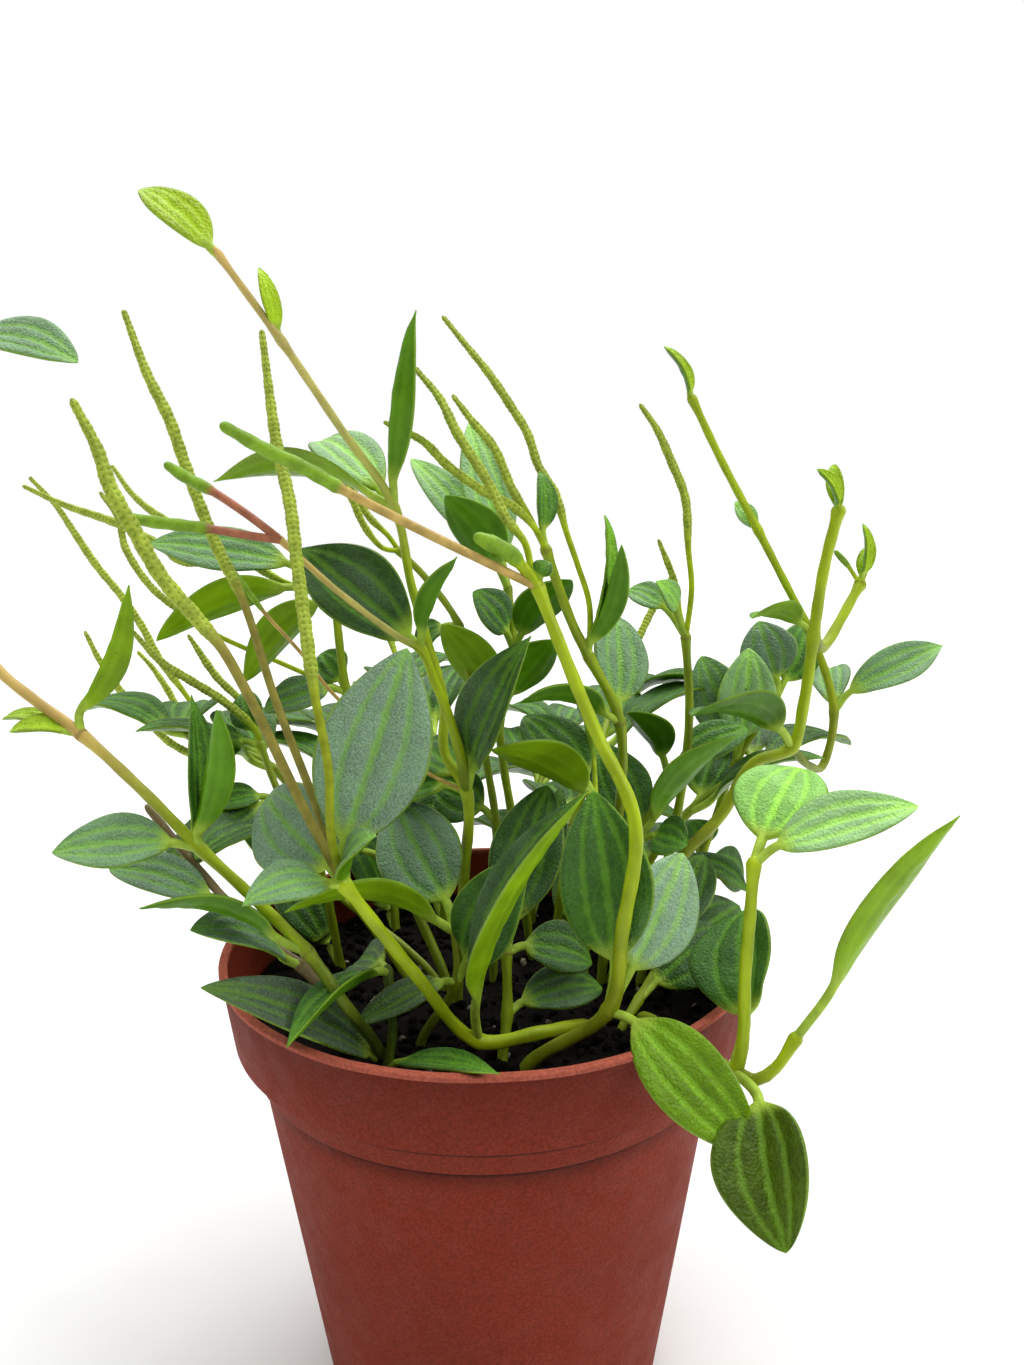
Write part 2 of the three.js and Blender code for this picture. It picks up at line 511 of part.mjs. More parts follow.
// Four points round a blade or stalk: its two edges, which are folded up, and its two faces' middles.
function bladeRing(point, along, face, half, thick, fold) {
  const side = new THREE.Vector3().crossVectors(along, face).normalize();
  const up = new THREE.Vector3().crossVectors(side, along);
  const raised = half * Math.sin(fold);
  const reach = half * Math.cos(fold);
  const edge = (sign) => point.clone().addScaledVector(side, sign * reach).addScaledVector(up, raised);
  const middle = (sign) => point.clone().addScaledVector(up, (sign * thick) / 2);
  return [edge(1), middle(-1), edge(-1), middle(1)];
}

function leafSolid(route, { knot, tip, width, face, fold, stalk, arch }, grow) {
  const root = vec(route[knot]);
  const end = vec(tip);
  const aim = end.clone().sub(root).normalize();
  const rise = aim.addScaledVector(directionAt(route, knot), STALK_RISE).normalize();
  const base = root.clone().addScaledVector(rise, stalk);
  const run = end.clone().sub(base);
  const looks = vec(face);
  const upper = looks.clone().addScaledVector(run, -looks.dot(run) / run.lengthSq()).normalize();
  const crest = base.clone().add(end).multiplyScalar(0.5).addScaledVector(upper, 2 * arch * run.length());
  const midrib = new THREE.QuadraticBezierCurve3(base, crest, end);
  const angle = fold * DEGREE;
  const rootR = STALK_ROOT_R + grow;
  const stalkR = STALK_R + grow;
  const sunkRoot = root.clone().addScaledVector(rise, -SUNK);
  const rings = [bladeRing(sunkRoot, rise, looks, rootR, 2 * rootR, angle)];
  for (const u of width < SMALL_BLADE ? SMALL_BLADE_RINGS : BLADE_RINGS) {
    const half = Math.max(stalkR, (width / 2) * outline(u) + grow);
    const thick = u === 0 ? 2 * stalkR : BLADE_THICKNESS / Math.cos(angle) + 2 * grow;
    rings.push(bladeRing(midrib.getPoint(u), midrib.getTangent(u), looks, half, thick, angle));
  }
  const endTangent = midrib.getTangent(1);
  const point = end.clone().addScaledVector(endTangent, grow);
  rings.push(bladeRing(point, endTangent, looks, TIP_R, 2 * TIP_R, angle));
  return skin(rings);
}

// A flower spike. Its rings alternate in width and turn, as the rows of florets do.
function spikeSolid(route, { bare, radius }, grow) {
  const stations = alongRoute(route, SPIKE_STEP, []);
  const last = route.length - 1;
  const isBare = (station) => station.at < bare;
  const ringRadius = (station, i) => {
    if (isBare(station)) return SPIKE_STALK_R + grow;
    const blunt = station.at === last ? SPIKE_TIP : 1;
    const relief = i % 2 === 0 ? 1 + SPIKE_RELIEF : 1 - SPIKE_RELIEF;
    return radius * relief * blunt + grow;
  };
  const turn = (i) => (i % 2 === 0 || isBare(stations[i]) ? 0 : 0.5);
  return skin(ringsAlong(stations, SPIKE_SIDES, ringRadius, turn));
}

// The inner wall's corners, as radius and height. inset moves them into the pot's hollow.
const insideWall = (inset) => ({
  underLip: [RIM_R - LIP_WIDTH - inset, POT_H - LIP_DEPTH],
  rimBand: [RIM_BAND_R - WALL - inset, RIM_BAND_Z + 1],
  lowerBandTop: [LOWER_BAND_TOP_R - WALL - inset, RIM_BAND_Z - 0.6],
  lowerBand: [LOWER_BAND_R - WALL + 0.1 - inset, LOWER_BAND_Z + 1],
  bodyTop: [BODY_TOP_R - WALL - inset, LOWER_BAND_Z - 0.7],
  floorEdge: [BASE_R - inset, FLOOR + inset],
});

// The pot's shell, turned round its axis. grow thickens it for clearance.
function potShell(grow) {
  const profile = [
    [0, -grow],
    [BASE_R + grow, -grow],
    [BASE_R + BASE_ROUNDING + grow, BASE_ROUNDING],
    [BODY_TOP_R + grow, LOWER_BAND_Z - grow],
    [LOWER_BAND_R + grow, LOWER_BAND_Z - grow],
    [LOWER_BAND_TOP_R + grow, RIM_BAND_Z - grow],
    [RIM_BAND_R + grow, RIM_BAND_Z - grow],
    [RIM_R - LIP_STEP + grow, POT_H - LIP_DEPTH - grow],
    [RIM_R + grow, POT_H - LIP_DEPTH - grow],
    [RIM_R + grow, POT_H + grow],
    [RIM_R - LIP_WIDTH - grow, POT_H + grow],
    ...Object.values(insideWall(grow)),
    [0, FLOOR + grow],
  ];
  const corners = profile.map(([r, z]) => new THREE.Vector2(r, z));
  const lathe = new THREE.LatheGeometry(corners, POT_SIDES);
  lathe.rotateX(Math.PI / 2);
  return solidOf(lathe);
}

function pot() {
  let solid = potShell(0);
  for (let i = 0; i < DRAIN_HOLES; i++) {
    const hole = new THREE.CylinderGeometry(DRAIN_HOLE_R, DRAIN_HOLE_R, 3 * FLOOR, DRAIN_SIDES);
    hole.rotateX(Math.PI / 2);
    hole.translate(...polar(DRAIN_CIRCLE_R, (360 * i) / DRAIN_HOLES, FLOOR / 2));
    solid = solid.subtract(solidOf(hole));
  }
  return solid;
}

function soil() {
  const circle = (r, height) =>
    Array.from({ length: POT_SIDES }, (_, k) => {
      const [x, y] = polar(r, (360 * k) / POT_SIDES + 90, 0);
      return new THREE.Vector3(x, y, height(x, y));
    });
  const wavy = (x, y) => SOIL_Z + SOIL_WAVE * Math.sin(0.29 * x + 1) * Math.cos(0.24 * y - 0.6);
  const { floorEdge, bodyTop, lowerBandTop, rimBand } = insideWall(GAP);
  const sides = [floorEdge, bodyTop, lowerBandTop, rimBand].map(([r, z]) => circle(r, () => z));
  return skin([...sides, circle(SOIL_EDGE_R, wavy), circle(SOIL_MIDDLE_R, wavy)]);
}

// A stem and its branches as limbs, each with its own route. A stem's tube starts at its root.
function limbsOf({ girth, route, leaves, spikes, branches }) {
  const lean = directionAt(route, 0);
  const root = plus(route[0], [-lean.x * ROOT_LEAN, -lean.y * ROOT_LEAN, -ROOT_DEPTH]);
  const forks = branches.map((side) => side.knot);
  const main = { girth, route, leaves, spikes, forks, tubeRoute: [root, ...route], before: 1 };
  const sides = branches.map((side) => {
    const sideRoute = [route[side.knot], ...side.route];
    return { ...side, route: sideRoute, forks: [], tubeRoute: sideRoute, before: 0 };
  });
  return [main, ...sides];
}

function limbTube(limb, grow) {
  const bearing = [...limb.leaves, ...limb.spikes].map((item) => item.knot);
  const knots = [...new Set([...bearing, ...limb.forks])].map((knot) => knot + limb.before);
  return tube(limb.tubeRoute, limb.girth, knots, grow);
}
const woodOf = (limbs, grow) =>
  limbs.map((limb) => limbTube(limb, grow)).reduce((whole, piece) => whole.add(piece));

// Every leaf and spike of a plant, made both at its size and fatter by the clearance.
function plantOf(item) {
  const limbs = limbsOf(item);
  const both = (make) => ({ solid: make(0), fat: make(GAP) });
  const leaves = limbs.flatMap(({ route, leaves: own }) =>
    own.map((one) => both((grow) => leafSolid(route, one, grow))),
  );
  const spikes = limbs.flatMap(({ route, spikes: own }) =>
    own.map((one) => {
      const spikeRoute = [route[one.knot], ...one.route];
      return { kind: one.kind, ...both((grow) => spikeSolid(spikeRoute, one, grow)) };
    }),
  );
  return { name: item.name, wood: both((grow) => woodOf(limbs, grow)), leaves, spikes };
}

const boxesMeet = (a, b) => {
  const p = a.boundingBox();
  const q = b.boundingBox();
  return [0, 1, 2].every((i) => p.min[i] < q.max[i] && q.min[i] < p.max[i]);
};
// What is left of a solid beside others that it must stay clear of.
const clearOf = (solid, others) =>
  others.reduce((left, other) => (boxesMeet(left, other) ? left.subtract(other) : left), solid);
const biggest = (solid) =>
  solid.decompose().reduce((best, piece) => (piece.volume() > best.volume() ? piece : best));

// Each piece keeps a gap to its neighbours: stems come before leaves, and earlier ones before later.
const plants = stems.map(plantOf);
const fatPot = potShell(GAP);
const solids = new Map([["pot", { solid: pot(), look: "pot" }]]);
const leavesBefore = [];
plants.forEach((plant, i) => {
  const woodBefore = plants.slice(0, i).map((other) => other.wood.fat);
  const others = plants.filter((other) => other !== plant);
  const inTheWay = others.flatMap((other) => [other.wood.fat, ...other.spikes.map((one) => one.fat)]);
  const wood = biggest(clearOf(plant.wood.solid, [fatPot, ...woodBefore]));
  let whole = wood;
  for (const { solid } of plant.leaves) {
    const left = clearOf(solid, [fatPot, ...inTheWay, ...leavesBefore]);
    const held = left.decompose().filter((piece) => piece.intersect(wood).volume() > 0);
    for (const piece of held) whole = whole.add(piece);
  }
  leavesBefore.push(...plant.leaves.map((one) => one.fat));
  solids.set("stem_" + plant.name, { solid: biggest(whole).simplify(TIDY), look: "leafy" });
});

const wood = plants.map((plant) => plant.wood.fat);
const spikesBefore = [];
for (const plant of plants) {
  const ownLeaves = plant.leaves.map((one) => one.fat);
  plant.spikes.forEach(({ kind, solid, fat }, k) => {
    const left = clearOf(solid, [fatPot, ...wood, ...ownLeaves, ...spikesBefore]);
    solids.set("spike_" + plant.name + "_" + (k + 1), { solid: biggest(left), look: kind });
    spikesBefore.push(fat);
  });
}
const ground = biggest(clearOf(soil(), [...wood, ...leavesBefore]));
solids.set("soil", { solid: ground.simplify(TIDY), look: "soil" });

const looks = {
  pot: { color: 0x8e4334, roughness: 0.6 },
  soil: { color: 0x2a211b, roughness: 1 },
  leafy: { color: 0x4d7a3a, roughness: 0.45 },
  ripe: { color: 0xa3b84e, roughness: 0.7 },
  young: { color: 0x7fae3c, roughness: 0.45 },
};
const pottedPlant = new THREE.Group();
for (const [name, { solid, look }] of solids) {
  const mesh = solid.getMesh();
  const geometry = new THREE.BufferGeometry();
  geometry.setAttribute("position", new THREE.BufferAttribute(mesh.vertProperties, mesh.numProp));
  geometry.setIndex(new THREE.BufferAttribute(mesh.triVerts, 1));
  geometry.computeVertexNormals();
  const material = new THREE.MeshStandardMaterial({ ...looks[look], metalness: 0 });
  const piece = new THREE.Mesh(geometry, material);
  piece.name = name;
  pottedPlant.add(piece);
}

export default pottedPlant;
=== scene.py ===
"""A beetle peperomia in a round nursery pot, with its leaves, flower spikes and potting soil.

Millimetres in this file, +Z up, x to the right, y to the back. The meshes are made in metres.
"""
import math
import random

import bpy
import numpy as np
from mathutils import Matrix, Vector, noise


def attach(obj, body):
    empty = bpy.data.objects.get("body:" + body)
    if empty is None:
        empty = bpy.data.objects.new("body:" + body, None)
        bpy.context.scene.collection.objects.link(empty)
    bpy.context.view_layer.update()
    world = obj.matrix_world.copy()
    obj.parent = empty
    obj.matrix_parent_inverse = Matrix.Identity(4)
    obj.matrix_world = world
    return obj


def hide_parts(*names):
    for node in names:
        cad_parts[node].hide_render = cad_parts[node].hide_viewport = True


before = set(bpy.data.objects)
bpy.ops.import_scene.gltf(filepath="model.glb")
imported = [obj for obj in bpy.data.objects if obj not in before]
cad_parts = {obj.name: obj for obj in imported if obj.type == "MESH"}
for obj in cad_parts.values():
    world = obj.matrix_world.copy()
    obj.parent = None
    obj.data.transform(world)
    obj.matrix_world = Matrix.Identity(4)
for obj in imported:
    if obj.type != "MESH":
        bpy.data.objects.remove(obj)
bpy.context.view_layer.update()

MM = 0.001
# How close counts as touching.
NEAR = 0.01

# The pot.
POT_H = 94
RIM_R = 53
LIP_WIDTH = 1.7
LIP_DEPTH = 0.9
LIP_STEP = 0.4
RIM_BAND_Z = 79.2
RIM_BAND_R = 50.6
LOWER_BAND_Z = 73.3
LOWER_BAND_TOP_R = 48.9
LOWER_BAND_R = 47.1
BODY_TOP_R = 46
BASE_R = 33.4
BASE_ROUNDING = 1.4
FLOOR = 2.2
WALL = 1.4
POT_SIDES = 180
DRAIN_HOLES = 6
DRAIN_HOLE_R = 3
DRAIN_CIRCLE_R = 23
DRAIN_SIDES = 40
EDGE_ROUNDING = 0.3
# A rounding takes at most one such part of each side of its corner.
SIDE_PARTS = 2.1
CENTRE_R = 0.3
# The inside of the wall turns this far above and below each step outside, and the wall is this
# much thinner at the lower step.
INNER_RISE = 1
RIM_BAND_DROP = 0.6
LOWER_BAND_DROP = 0.7
INNER_STEP = 0.1
# The lip is a little out of true, with nicks: waves as height, number round the pot and phase.
LIP_REACH = 4
LIP_INSET = 0.3
LIP_WAVES = ((0.14, 3, 1), (0.08, 7, 0), (0.05, 17, 2))
LIP_SINK = 0.15
LIP_SWAY = 0.1
LIP_BLEND = 0.1
LIP_NICKS = 16
NICK_DEPTH = (0.1, 0.35)
NICK_WIDTH = (0.012, 0.03)
NICK_SINK = 0.6
# How much narrower the body and the lower band get for each millimetre down.
BODY_SLOPE = (BODY_TOP_R - BASE_R - BASE_ROUNDING) / (LOWER_BAND_Z - BASE_ROUNDING)
BAND_SLOPE = (LOWER_BAND_TOP_R - LOWER_BAND_R) / (RIM_BAND_Z - LOWER_BAND_Z)
# Below each step of the wall: the heights down from it where the colour may change, and the
# shadows there, each with the step's height, how far down it starts to fade and ends, and how
# dark it is.
SHADOW_DEPTHS = (5.2, 3.6, 2.6, 2.1, 1.8, 1.5, 1.2, 0.8, 0.4, 0)
STEP_SHADOWS = (
    (POT_H - LIP_DEPTH, 0.2, 1.5, 0.35), (RIM_BAND_Z, 1.3, 2.1, 0.75), (LOWER_BAND_Z, 0.8, 1.6, 0.6),
    (LOWER_BAND_Z, 0.8, 5.2, 0.4),
)

# The soil.
SOIL_Z = 83
SOIL_WAVE = 1.1
SOIL_EDGE_R = 48.6
SOIL_GAP = 0.35
SOIL_RINGS = 60
SOIL_MIDDLE = 0.998
SOIL_PITCHES = (0.29, 0.24)
SOIL_PHASES = (1, -0.6)
# Lumps on the soil as height, pitch and layer of the noise.
SOIL_LUMPS = ((0.9, 0.22, 0), (0.5, 0.7, 9))
CRUMB_SIDES = 6
CRUMB_ROWS = 5
CRUMB_POLE = 0.25
CRUMB_ROUGHNESS = (0.7, 1.15)
CRUMB_WIDTH = (0.6, 1)
CRUMB_HEIGHT = (0.45, 0.8)
CRUMB_RISE = 0.25
CRUMB_EDGE = 2

# The side of a tube on which its rings start.
START_ACROSS = (0, 1, 0.3)

# Stems. They are four-sided with soft ridges, and swell where something grows.
ROOT_DEPTH = 12
ROOT_LEAN = 3
STEM_SIDES = 16
STEM_STEP = 1.5
STEM_TAPER = 0.82
STEM_ROUND = 0.9
STEM_RIDGES = 4
STEM_RIDGE = 0.05
STEM_END = 1.5
STEM_TIP_R = 0.06
STEM_WOBBLE = 0.04
WOBBLE_PITCH = 0.9
KNUCKLE = 0.34
KNUCKLE_REACH = 1.5
SCAR_DEPTH = (0.2, 1)
SCAR_REACH = 0.9
END_SHARES = (0.35, 0.65, 0.85, 0.96, 1)

# Leaves. The columns are shares of half the width, and the long side veins run along one of them.
COLUMNS = np.array([0, 0.1, 0.2, 0.3, 0.4, 0.48, 0.58, 0.7, 0.82, 0.93, 1])
VEIN = 0.48
STALK_RISE = 0.45
STALK_RINGS = 6
STALK_R0 = 0.55
STALK_R_BY_WIDTH = 0.02
STALK_LOSS = 0.97
STALK_FADE = (0.2, 1)
STALK_THINNING = 0.25
BLADE_START = (-0.02, 0.16)
BLADE_RINGS = 34
# A ring's share of the length is mostly even, and closer together at both ends of the blade.
EVEN_SHARE = 0.6
SMALL_BLADE = 12
SMALL_RINGS = 22
# The outline's power at the stalk and how it changes to the tip, for pointed and for blunt leaves.
POINTED_POWER = (0.8, 0.35)
BLUNT_POWER = (0.74, -0.12)
WIDEST_POWER = 0.85
# How blunt a leaf is, drawn for the pointed ones and for the others.
POINTED_DRAW = (0, 0.35)
BLUNT_DRAW = (0.6, 1)
TIP_HALF = 0.1
TIP_START = 0.85
TIP_THINNING = 0.75
THICKNESS = 0.9
EDGE_THINNING = 0.55
FOLD_POWER = 1.25
QUILT = 0.075
QUILT_BELOW = 0.35
QUILT_SMALL = 0.75
OUTER_LOBE = 0.8
SWELL_START = (0.02, 0.25)
SWELL_END = (0.75, 1)
EDGE_WAVE = 0.03
EDGE_WAVES = 9
BEND = 0.02
LUMP = 0.22
LUMP_PITCH = 0.55
PEBBLE = 0.42

# Flower spikes. The rows of florets wind round them in both directions.
SPIKE_SIDES = 18
SPIKE_STEP = 0.3
STALK_SKIP = 4
SLIM = 0.84
STALK_SHARE = 0.68
HEAD_BLEND = 0.5
RIPE_START = 5
YOUNG_START = 1
RIPE_TIP = 0.5
YOUNG_TIP = 0.75
TIP_REACH = (-0.05, 0.4)
SPIKE_TIP_R = 0.05
SPIKE_LUMPS = 0.05
LUMPS_PITCH = 1.7
FEWEST_ROWS = 3
FLORET_PITCH = 1.0
FLORET_WIDTH = 1.1
FLORET_RELIEF = 0.1
YOUNG_RELIEF = 0.02

# Colours, as linear red, green and blue.
SHADED = (0.03, 0.062, 0.018)
DEEP = (0.025, 0.08, 0.006)
MID = (0.036, 0.125, 0.005)
# The next three leaf colours are the leaf's green with a painted sheen of the bright sky in them.
BLUISH_SHEEN = (0.065, 0.15, 0.055)
SHEEN = (0.1, 0.21, 0.085)
LIGHT_SHEEN = (0.24, 0.44, 0.22)
LIGHT = (0.12, 0.26, 0.085)
GLOSSY = (0.055, 0.1, 0.0005)
FRESH = (0.1, 0.26, 0.002)
APPLE = (0.125, 0.25, 0.002)
LIME = (0.26, 0.38, 0.003)
MINT = (0.2, 0.44, 0.08)
PALE = (0.24, 0.46, 0.15)
UNDERSIDE = (0.2, 0.36, 0.003)
# A leaf's lower side darkened as painted shade.
SHADED_UNDERSIDE = (0.05, 0.15, 0.002)
MARGIN = (0.24, 0.4, 0.03)
VEIN_GAIN = (1.3, 1.3, 0.7)
VEIN_ADD = (0.09, 0.19, 0.02)
# The colour of the painted sheen on the leaves.
SHINE_TONE = (0.42, 0.55, 0.46)
STALK_TONE = (0.36, 0.52, 0.05)
NICK_TONE = (0.12, 0.07, 0.025)
DOT_TONE = (0.5, 0.6, 0.12)
SCAR_TONE = (0.2, 0.14, 0.04)
YELLOW_GREEN = (0.34, 0.46, 0.006)
DARK_STEM = (0.07, 0.11, 0.01)
LOW_GREEN = (0.13, 0.19, 0.008)
OLIVE = (0.24, 0.29, 0.008)
TAN = (0.52, 0.36, 0.1)
STALK_OLIVE = (0.24, 0.21, 0.035)
STRAW = (0.45, 0.43, 0.11)
BROWN = (0.16, 0.12, 0.05)
PINK = (0.36, 0.13, 0.07)
RIPE = (0.35, 0.44, 0.045)
YOUNG = (0.2, 0.36, 0.02)
FLORET_TONE = (0.12, 0.24, 0.008)
POT_TONE = (0.2, 0.026, 0.011)
# The lip's paler colour is a painted highlight.
LIP_HIGHLIGHT_TONE = (0.38, 0.09, 0.055)
DUST_TONE = (0.3, 0.09, 0.05)
SOIL_TONE = (0.005, 0.0035, 0.0025)
PERLITE_TONE = (0.2, 0.18, 0.13)
# Crumbs and pale grains on the soil: how many, how large, their colour and how much it varies.
GRAINS = ((900, (0.5, 1.7), SOIL_TONE, 0.6), (70, (0.5, 1.3), PERLITE_TONE, 0.25))

# Stems at the back, which follow a rule.
BACK_STEMS = 6
BACK_FIRST = 24
BACK_SPREAD = 136
BACK_SEED = 6113
BACK_GIRTH = 2.1
BACK_SWAY = (-5, 5)
BACK_FOOT_R = (20, 38)
BACK_LIFT = (-2, 4)
BACK_STAGGER = 13
# The points of a back stem past its foot: how far outwards, height, and sway in degrees.
BACK_ROUTE = ((5, 98, 4), (15, 112, 6), (29, 121, 8))
# Its paired leaves: the bearing from the stem's own and the rise, in the middle pair and elsewhere.
MIDDLE_KNOT = 2
MIDDLE_AIM = (26, 42)
PAIR_AIM = (52, 70)
MIDDLE_RISE = (8, 14)
PAIR_RISE = (0, 5)
PAIR_LENGTH = (23, 30)
PAIR_WIDTH = 0.55
PAIR_FOLD = (8, 22)
PAIR_ARCH = 0.12
BACK_STALK = 6
BACK_FOLD = 14
# The leaf at its foot and the one at its tip: how far outwards, how far aside, rise, width, arch.
FOOT_LEAF = dict(out=(20, 25), aside=(-30, 30), rise=(14, 18), width=12, arch=0.16)
END_LEAF = dict(out=(24, 32), rise=(-2, 8), width=14, arch=0.14)
# Its spike: the numbers of the points, and how far each one goes out, up and down again.
BACK_SPIKE_POINTS = (1, 2, 3, 4)
BACK_SPIKE_OUT = 6
BACK_SPIKE_RISE = 9
BACK_SPIKE_DROOP = 0.5
BACK_SPIKE_R = 1.1

# The set: camera, table and light.
CAMERA_PLACE = (5.6, -196.4, 181.3)
CAMERA_DIP = 10.2
CAMERA_ROLL = -0.7
SENSOR = 36
FOCAL_LENGTH = 27.03
FLOOR_SIZE = 6000
TABLE_TONE = (0.78, 0.78, 0.77)
BACKDROP = 1.0
SKY_LOW = 0.12
SKY_TOP = 1.7
SKY_RISE = (0.0, 0.75)
FRONT_SHARE = 0.35
FRONT_RISE = (-0.8, 0.1)
# Each light: name, the way it comes from, how wide it looks in degrees, strength.
LIGHTS = (
    ("overhead", (0.25, 0.35, 1), 40, 1.3),
    ("window", (1, -0.35, 0.75), 25, 0.7),
)

LOOKS_SEED = 29
FULL_TURN = 2 * math.pi
ANY_PHASE = (0, 6)

# In the materials: the part of a noise's range that counts, and sizes in millimetres.
NOISE_RANGE = (0.3, 0.7)
MIDRIB_WIDTH = 1.15
SIDE_VEIN_WIDTH = 0.95
OUTER_VEIN_WIDTH = 0.4
VEIN_WANDER = 0.22
NET_SIZE = 3.2
GRAIN_SIZE = 0.24
SPECK_SIZE = 0.9
DOT_SIZE = 0.8
# Shares: where the outer vein runs in half the width, and how far veins and sheen cover the colour.
OUTER_VEIN = 0.84
VEIN_SHARE = 0.88
SHINE = 0.55
PATCH_SHINE = 0.4

# The plant as it stands in front. A route is a list of points from the soil to the tip, and a knot
# is the number of a point on it.
# leaf: knot, tip, width, the way its upper side looks, how many degrees each half is folded up, the
# length of its stalk, how far the blade arches as a share of its length.
# spike: knot, route, how many spans of it are bare stalk, radius, kind.
stems = []


def leaf(knot, tip, width, face, fold, stalk, arch=0.1):
    return dict(knot=knot, tip=tip, width=width, face=face, fold=fold, stalk=stalk, arch=arch)


def spike(knot, route, bare, radius, kind="ripe"):
    return dict(knot=knot, route=route, bare=bare, radius=radius, kind=kind)


def branch(knot, girth, route, leaves, spikes=()):
    return dict(knot=knot, girth=girth, route=route, leaves=leaves, spikes=list(spikes))


def stem(name, girth, route, leaves, spikes=(), branches=()):
    main = branch(0, girth, route, leaves, spikes)
    stems.append(dict(main, name=name, branches=branches))


stem("front_left", 2.8, [[20, -19, 83], [11, -30, 89], [-1, -33, 89], [-11, -38, 104], [-21, -44, 122]], [
  leaf(2, [17, -48, 138], 13, [-0.85, -0.15, 0.5], 40, 9, 0.06),
  leaf(4, [-11, -35, 158], 18, [0.1, -0.95, 0.3], 10, 7, 0.04),
  leaf(4, [-15, -50, 132], 8, [-0.6, -0.3, 0.7], 20, 2),
  leaf(4, [-35, -52, 122], 11, [0, -0.3, 0.95], 12, 3),
  leaf(4, [-36, -28, 132], 15, [-0.3, -0.8, 0.4], 12, 4),
], [
  spike(4, [
    [-27, -44, 135], [-33, -46, 151], [-37, -47, 160], [-40, -47, 164], [-45, -48, 171],
    [-48, -48, 177], [-51, -48, 183], [-53, -47, 189], [-56, -46, 195],
  ], 3, 1.35),
  spike(4, [
    [-27, -38, 136], [-33, -32, 149], [-39, -26, 165], [-44, -22, 174], [-47, -20, 181],
    [-50, -18, 189], [-52, -17, 195], [-56, -15, 203], [-60, -12, 213],
  ], 3, 1.2),
  spike(4, [
    [-22, -48, 131], [-22, -48, 142], [-24, -45, 152], [-26, -40, 162], [-28, -34, 171],
    [-30, -28, 181], [-33, -22, 191], [-36, -15, 209],
  ], 3, 1.2),
])
stem("centre", 2.4, [
  [-6, -9, 83], [-4, -12, 110], [-3, -14, 128], [-7, -12, 135], [-7, -12, 145], [-10, -14, 158],
  [-12, -16, 167], [-14, -20, 180], [-22, -24, 193], [-30, -28, 206], [-34, -30, 212],
  [-38, -32, 218],
], [
  leaf(2, [9, -22, 158], 14, [-0.5, -0.7, 0.5], 25, 5, 0.05),
  leaf(2, [-17, -5, 123], 10, [0, -0.5, 0.85], 15, 5),
  leaf(2, [-13, 4, 132], 12, [0, -0.7, 0.65], 15, 5),
  leaf(7, [-9, -25, 211], 8, [0.8, 0.5, 0.2], 24, 4, -0.07),
  leaf(7, [-31, 5, 192], 11, [0.2, -0.8, 0.5], 12, 5),
  leaf(7, [-50, 0, 185], 11, [0, 0.5, 0.85], 14, 4),
  leaf(9, [-33, -28, 217], 3, [0.4, -0.7, 0.3], 14, 2),
  leaf(11, [-50, -30, 228], 8, [0.5, -0.7, 0.4], 10, 2),
], [
  spike(2, [
    [-12, -14, 133], [-27, -14, 147], [-32, -14, 154], [-39, -13, 162], [-44, -12, 169],
  ], 4, 0.6, "young"),
], [
  branch(2, 2.2, [
    [-4, -16, 136], [-6, -18, 144], [-8, -20, 150], [-10, -22, 156], [-13, -24, 158],
    [-23, -25, 166], [-32, -27, 175],
  ], [
    leaf(4, [-32, -12, 173], 16, [-0.2, -0.75, 0.6], 28, 3, 0.05),
    leaf(4, [-3, -30, 172], 6, [-0.6, 0.5, 0.5], 40, 3, 0.04),
  ], [
    spike(7, [[-38, -28, 176], [-43, -29, 177], [-50, -30, 178], [-56, -31, 179]], 2, 1.2, "young"),
    spike(7, [[-37, -27, 179], [-43, -26, 183], [-47, -25, 185], [-50, -25, 187]], 2, 1.2, "young"),
  ]),
])
stem("centre_back_thin", 1.8, [
  [1, 0, 83], [2, 0, 110], [2, 2, 117], [0, 5, 130], [-3, 8, 145], [-5, 10, 156], [-12, 12, 166],
  [-17, 13, 171],
], [
  leaf(2, [-11, 6, 124], 12, [0, -0.8, 0.5], 12, 4, 0.06),
  leaf(5, [-14, 16, 149], 9, [-0.2, -0.6, 0.75], 18, 4),
], [
  spike(7, [[-19, 13, 174], [-23, 14, 178], [-27, 15, 185]], 1, 0.9),
  spike(7, [[-20, 9, 172], [-23, 8, 176], [-26, 8, 183], [-29, 8, 189]], 1, 0.9),
])
stem("front_right", 2.8, [
  [7, -32, 83], [21, -38, 97], [23, -40, 112], [25, -39, 130], [19, -34, 144], [13, -32, 159],
  [10, -30, 167],
], [
  leaf(1, [19, -31, 133], 16, [-0.15, -0.92, 0.35], 14, 9, 0.03),
  leaf(1, [35, -26, 120], 14, [0.2, -0.9, 0.4], 14, 8, 0.05),
  leaf(1, [42, -53, 81], 13, [-0.15, -0.7, 0.7], 14, 5, 0.15),
  leaf(6, [12, -29, 171], 4, [-0.3, -0.7, 0.4], 14, 2),
], [
  spike(6, [
    [-11, -36, 178], [-20, -38, 183], [-25, -39, 186], [-31, -40, 189], [-36, -41, 192],
  ], 2, 1.3, "young"),
  spike(6, [[7, -31, 171], [5, -32, 173], [1, -33, 175]], 1, 1.6, "young"),
  spike(6, [
    [9, -28, 170], [8, -27, 174], [5, -25, 178], [2, -23, 184], [-3, -20, 192], [-6, -17, 198],
    [-10, -14, 203],
  ], 2, 1),
])
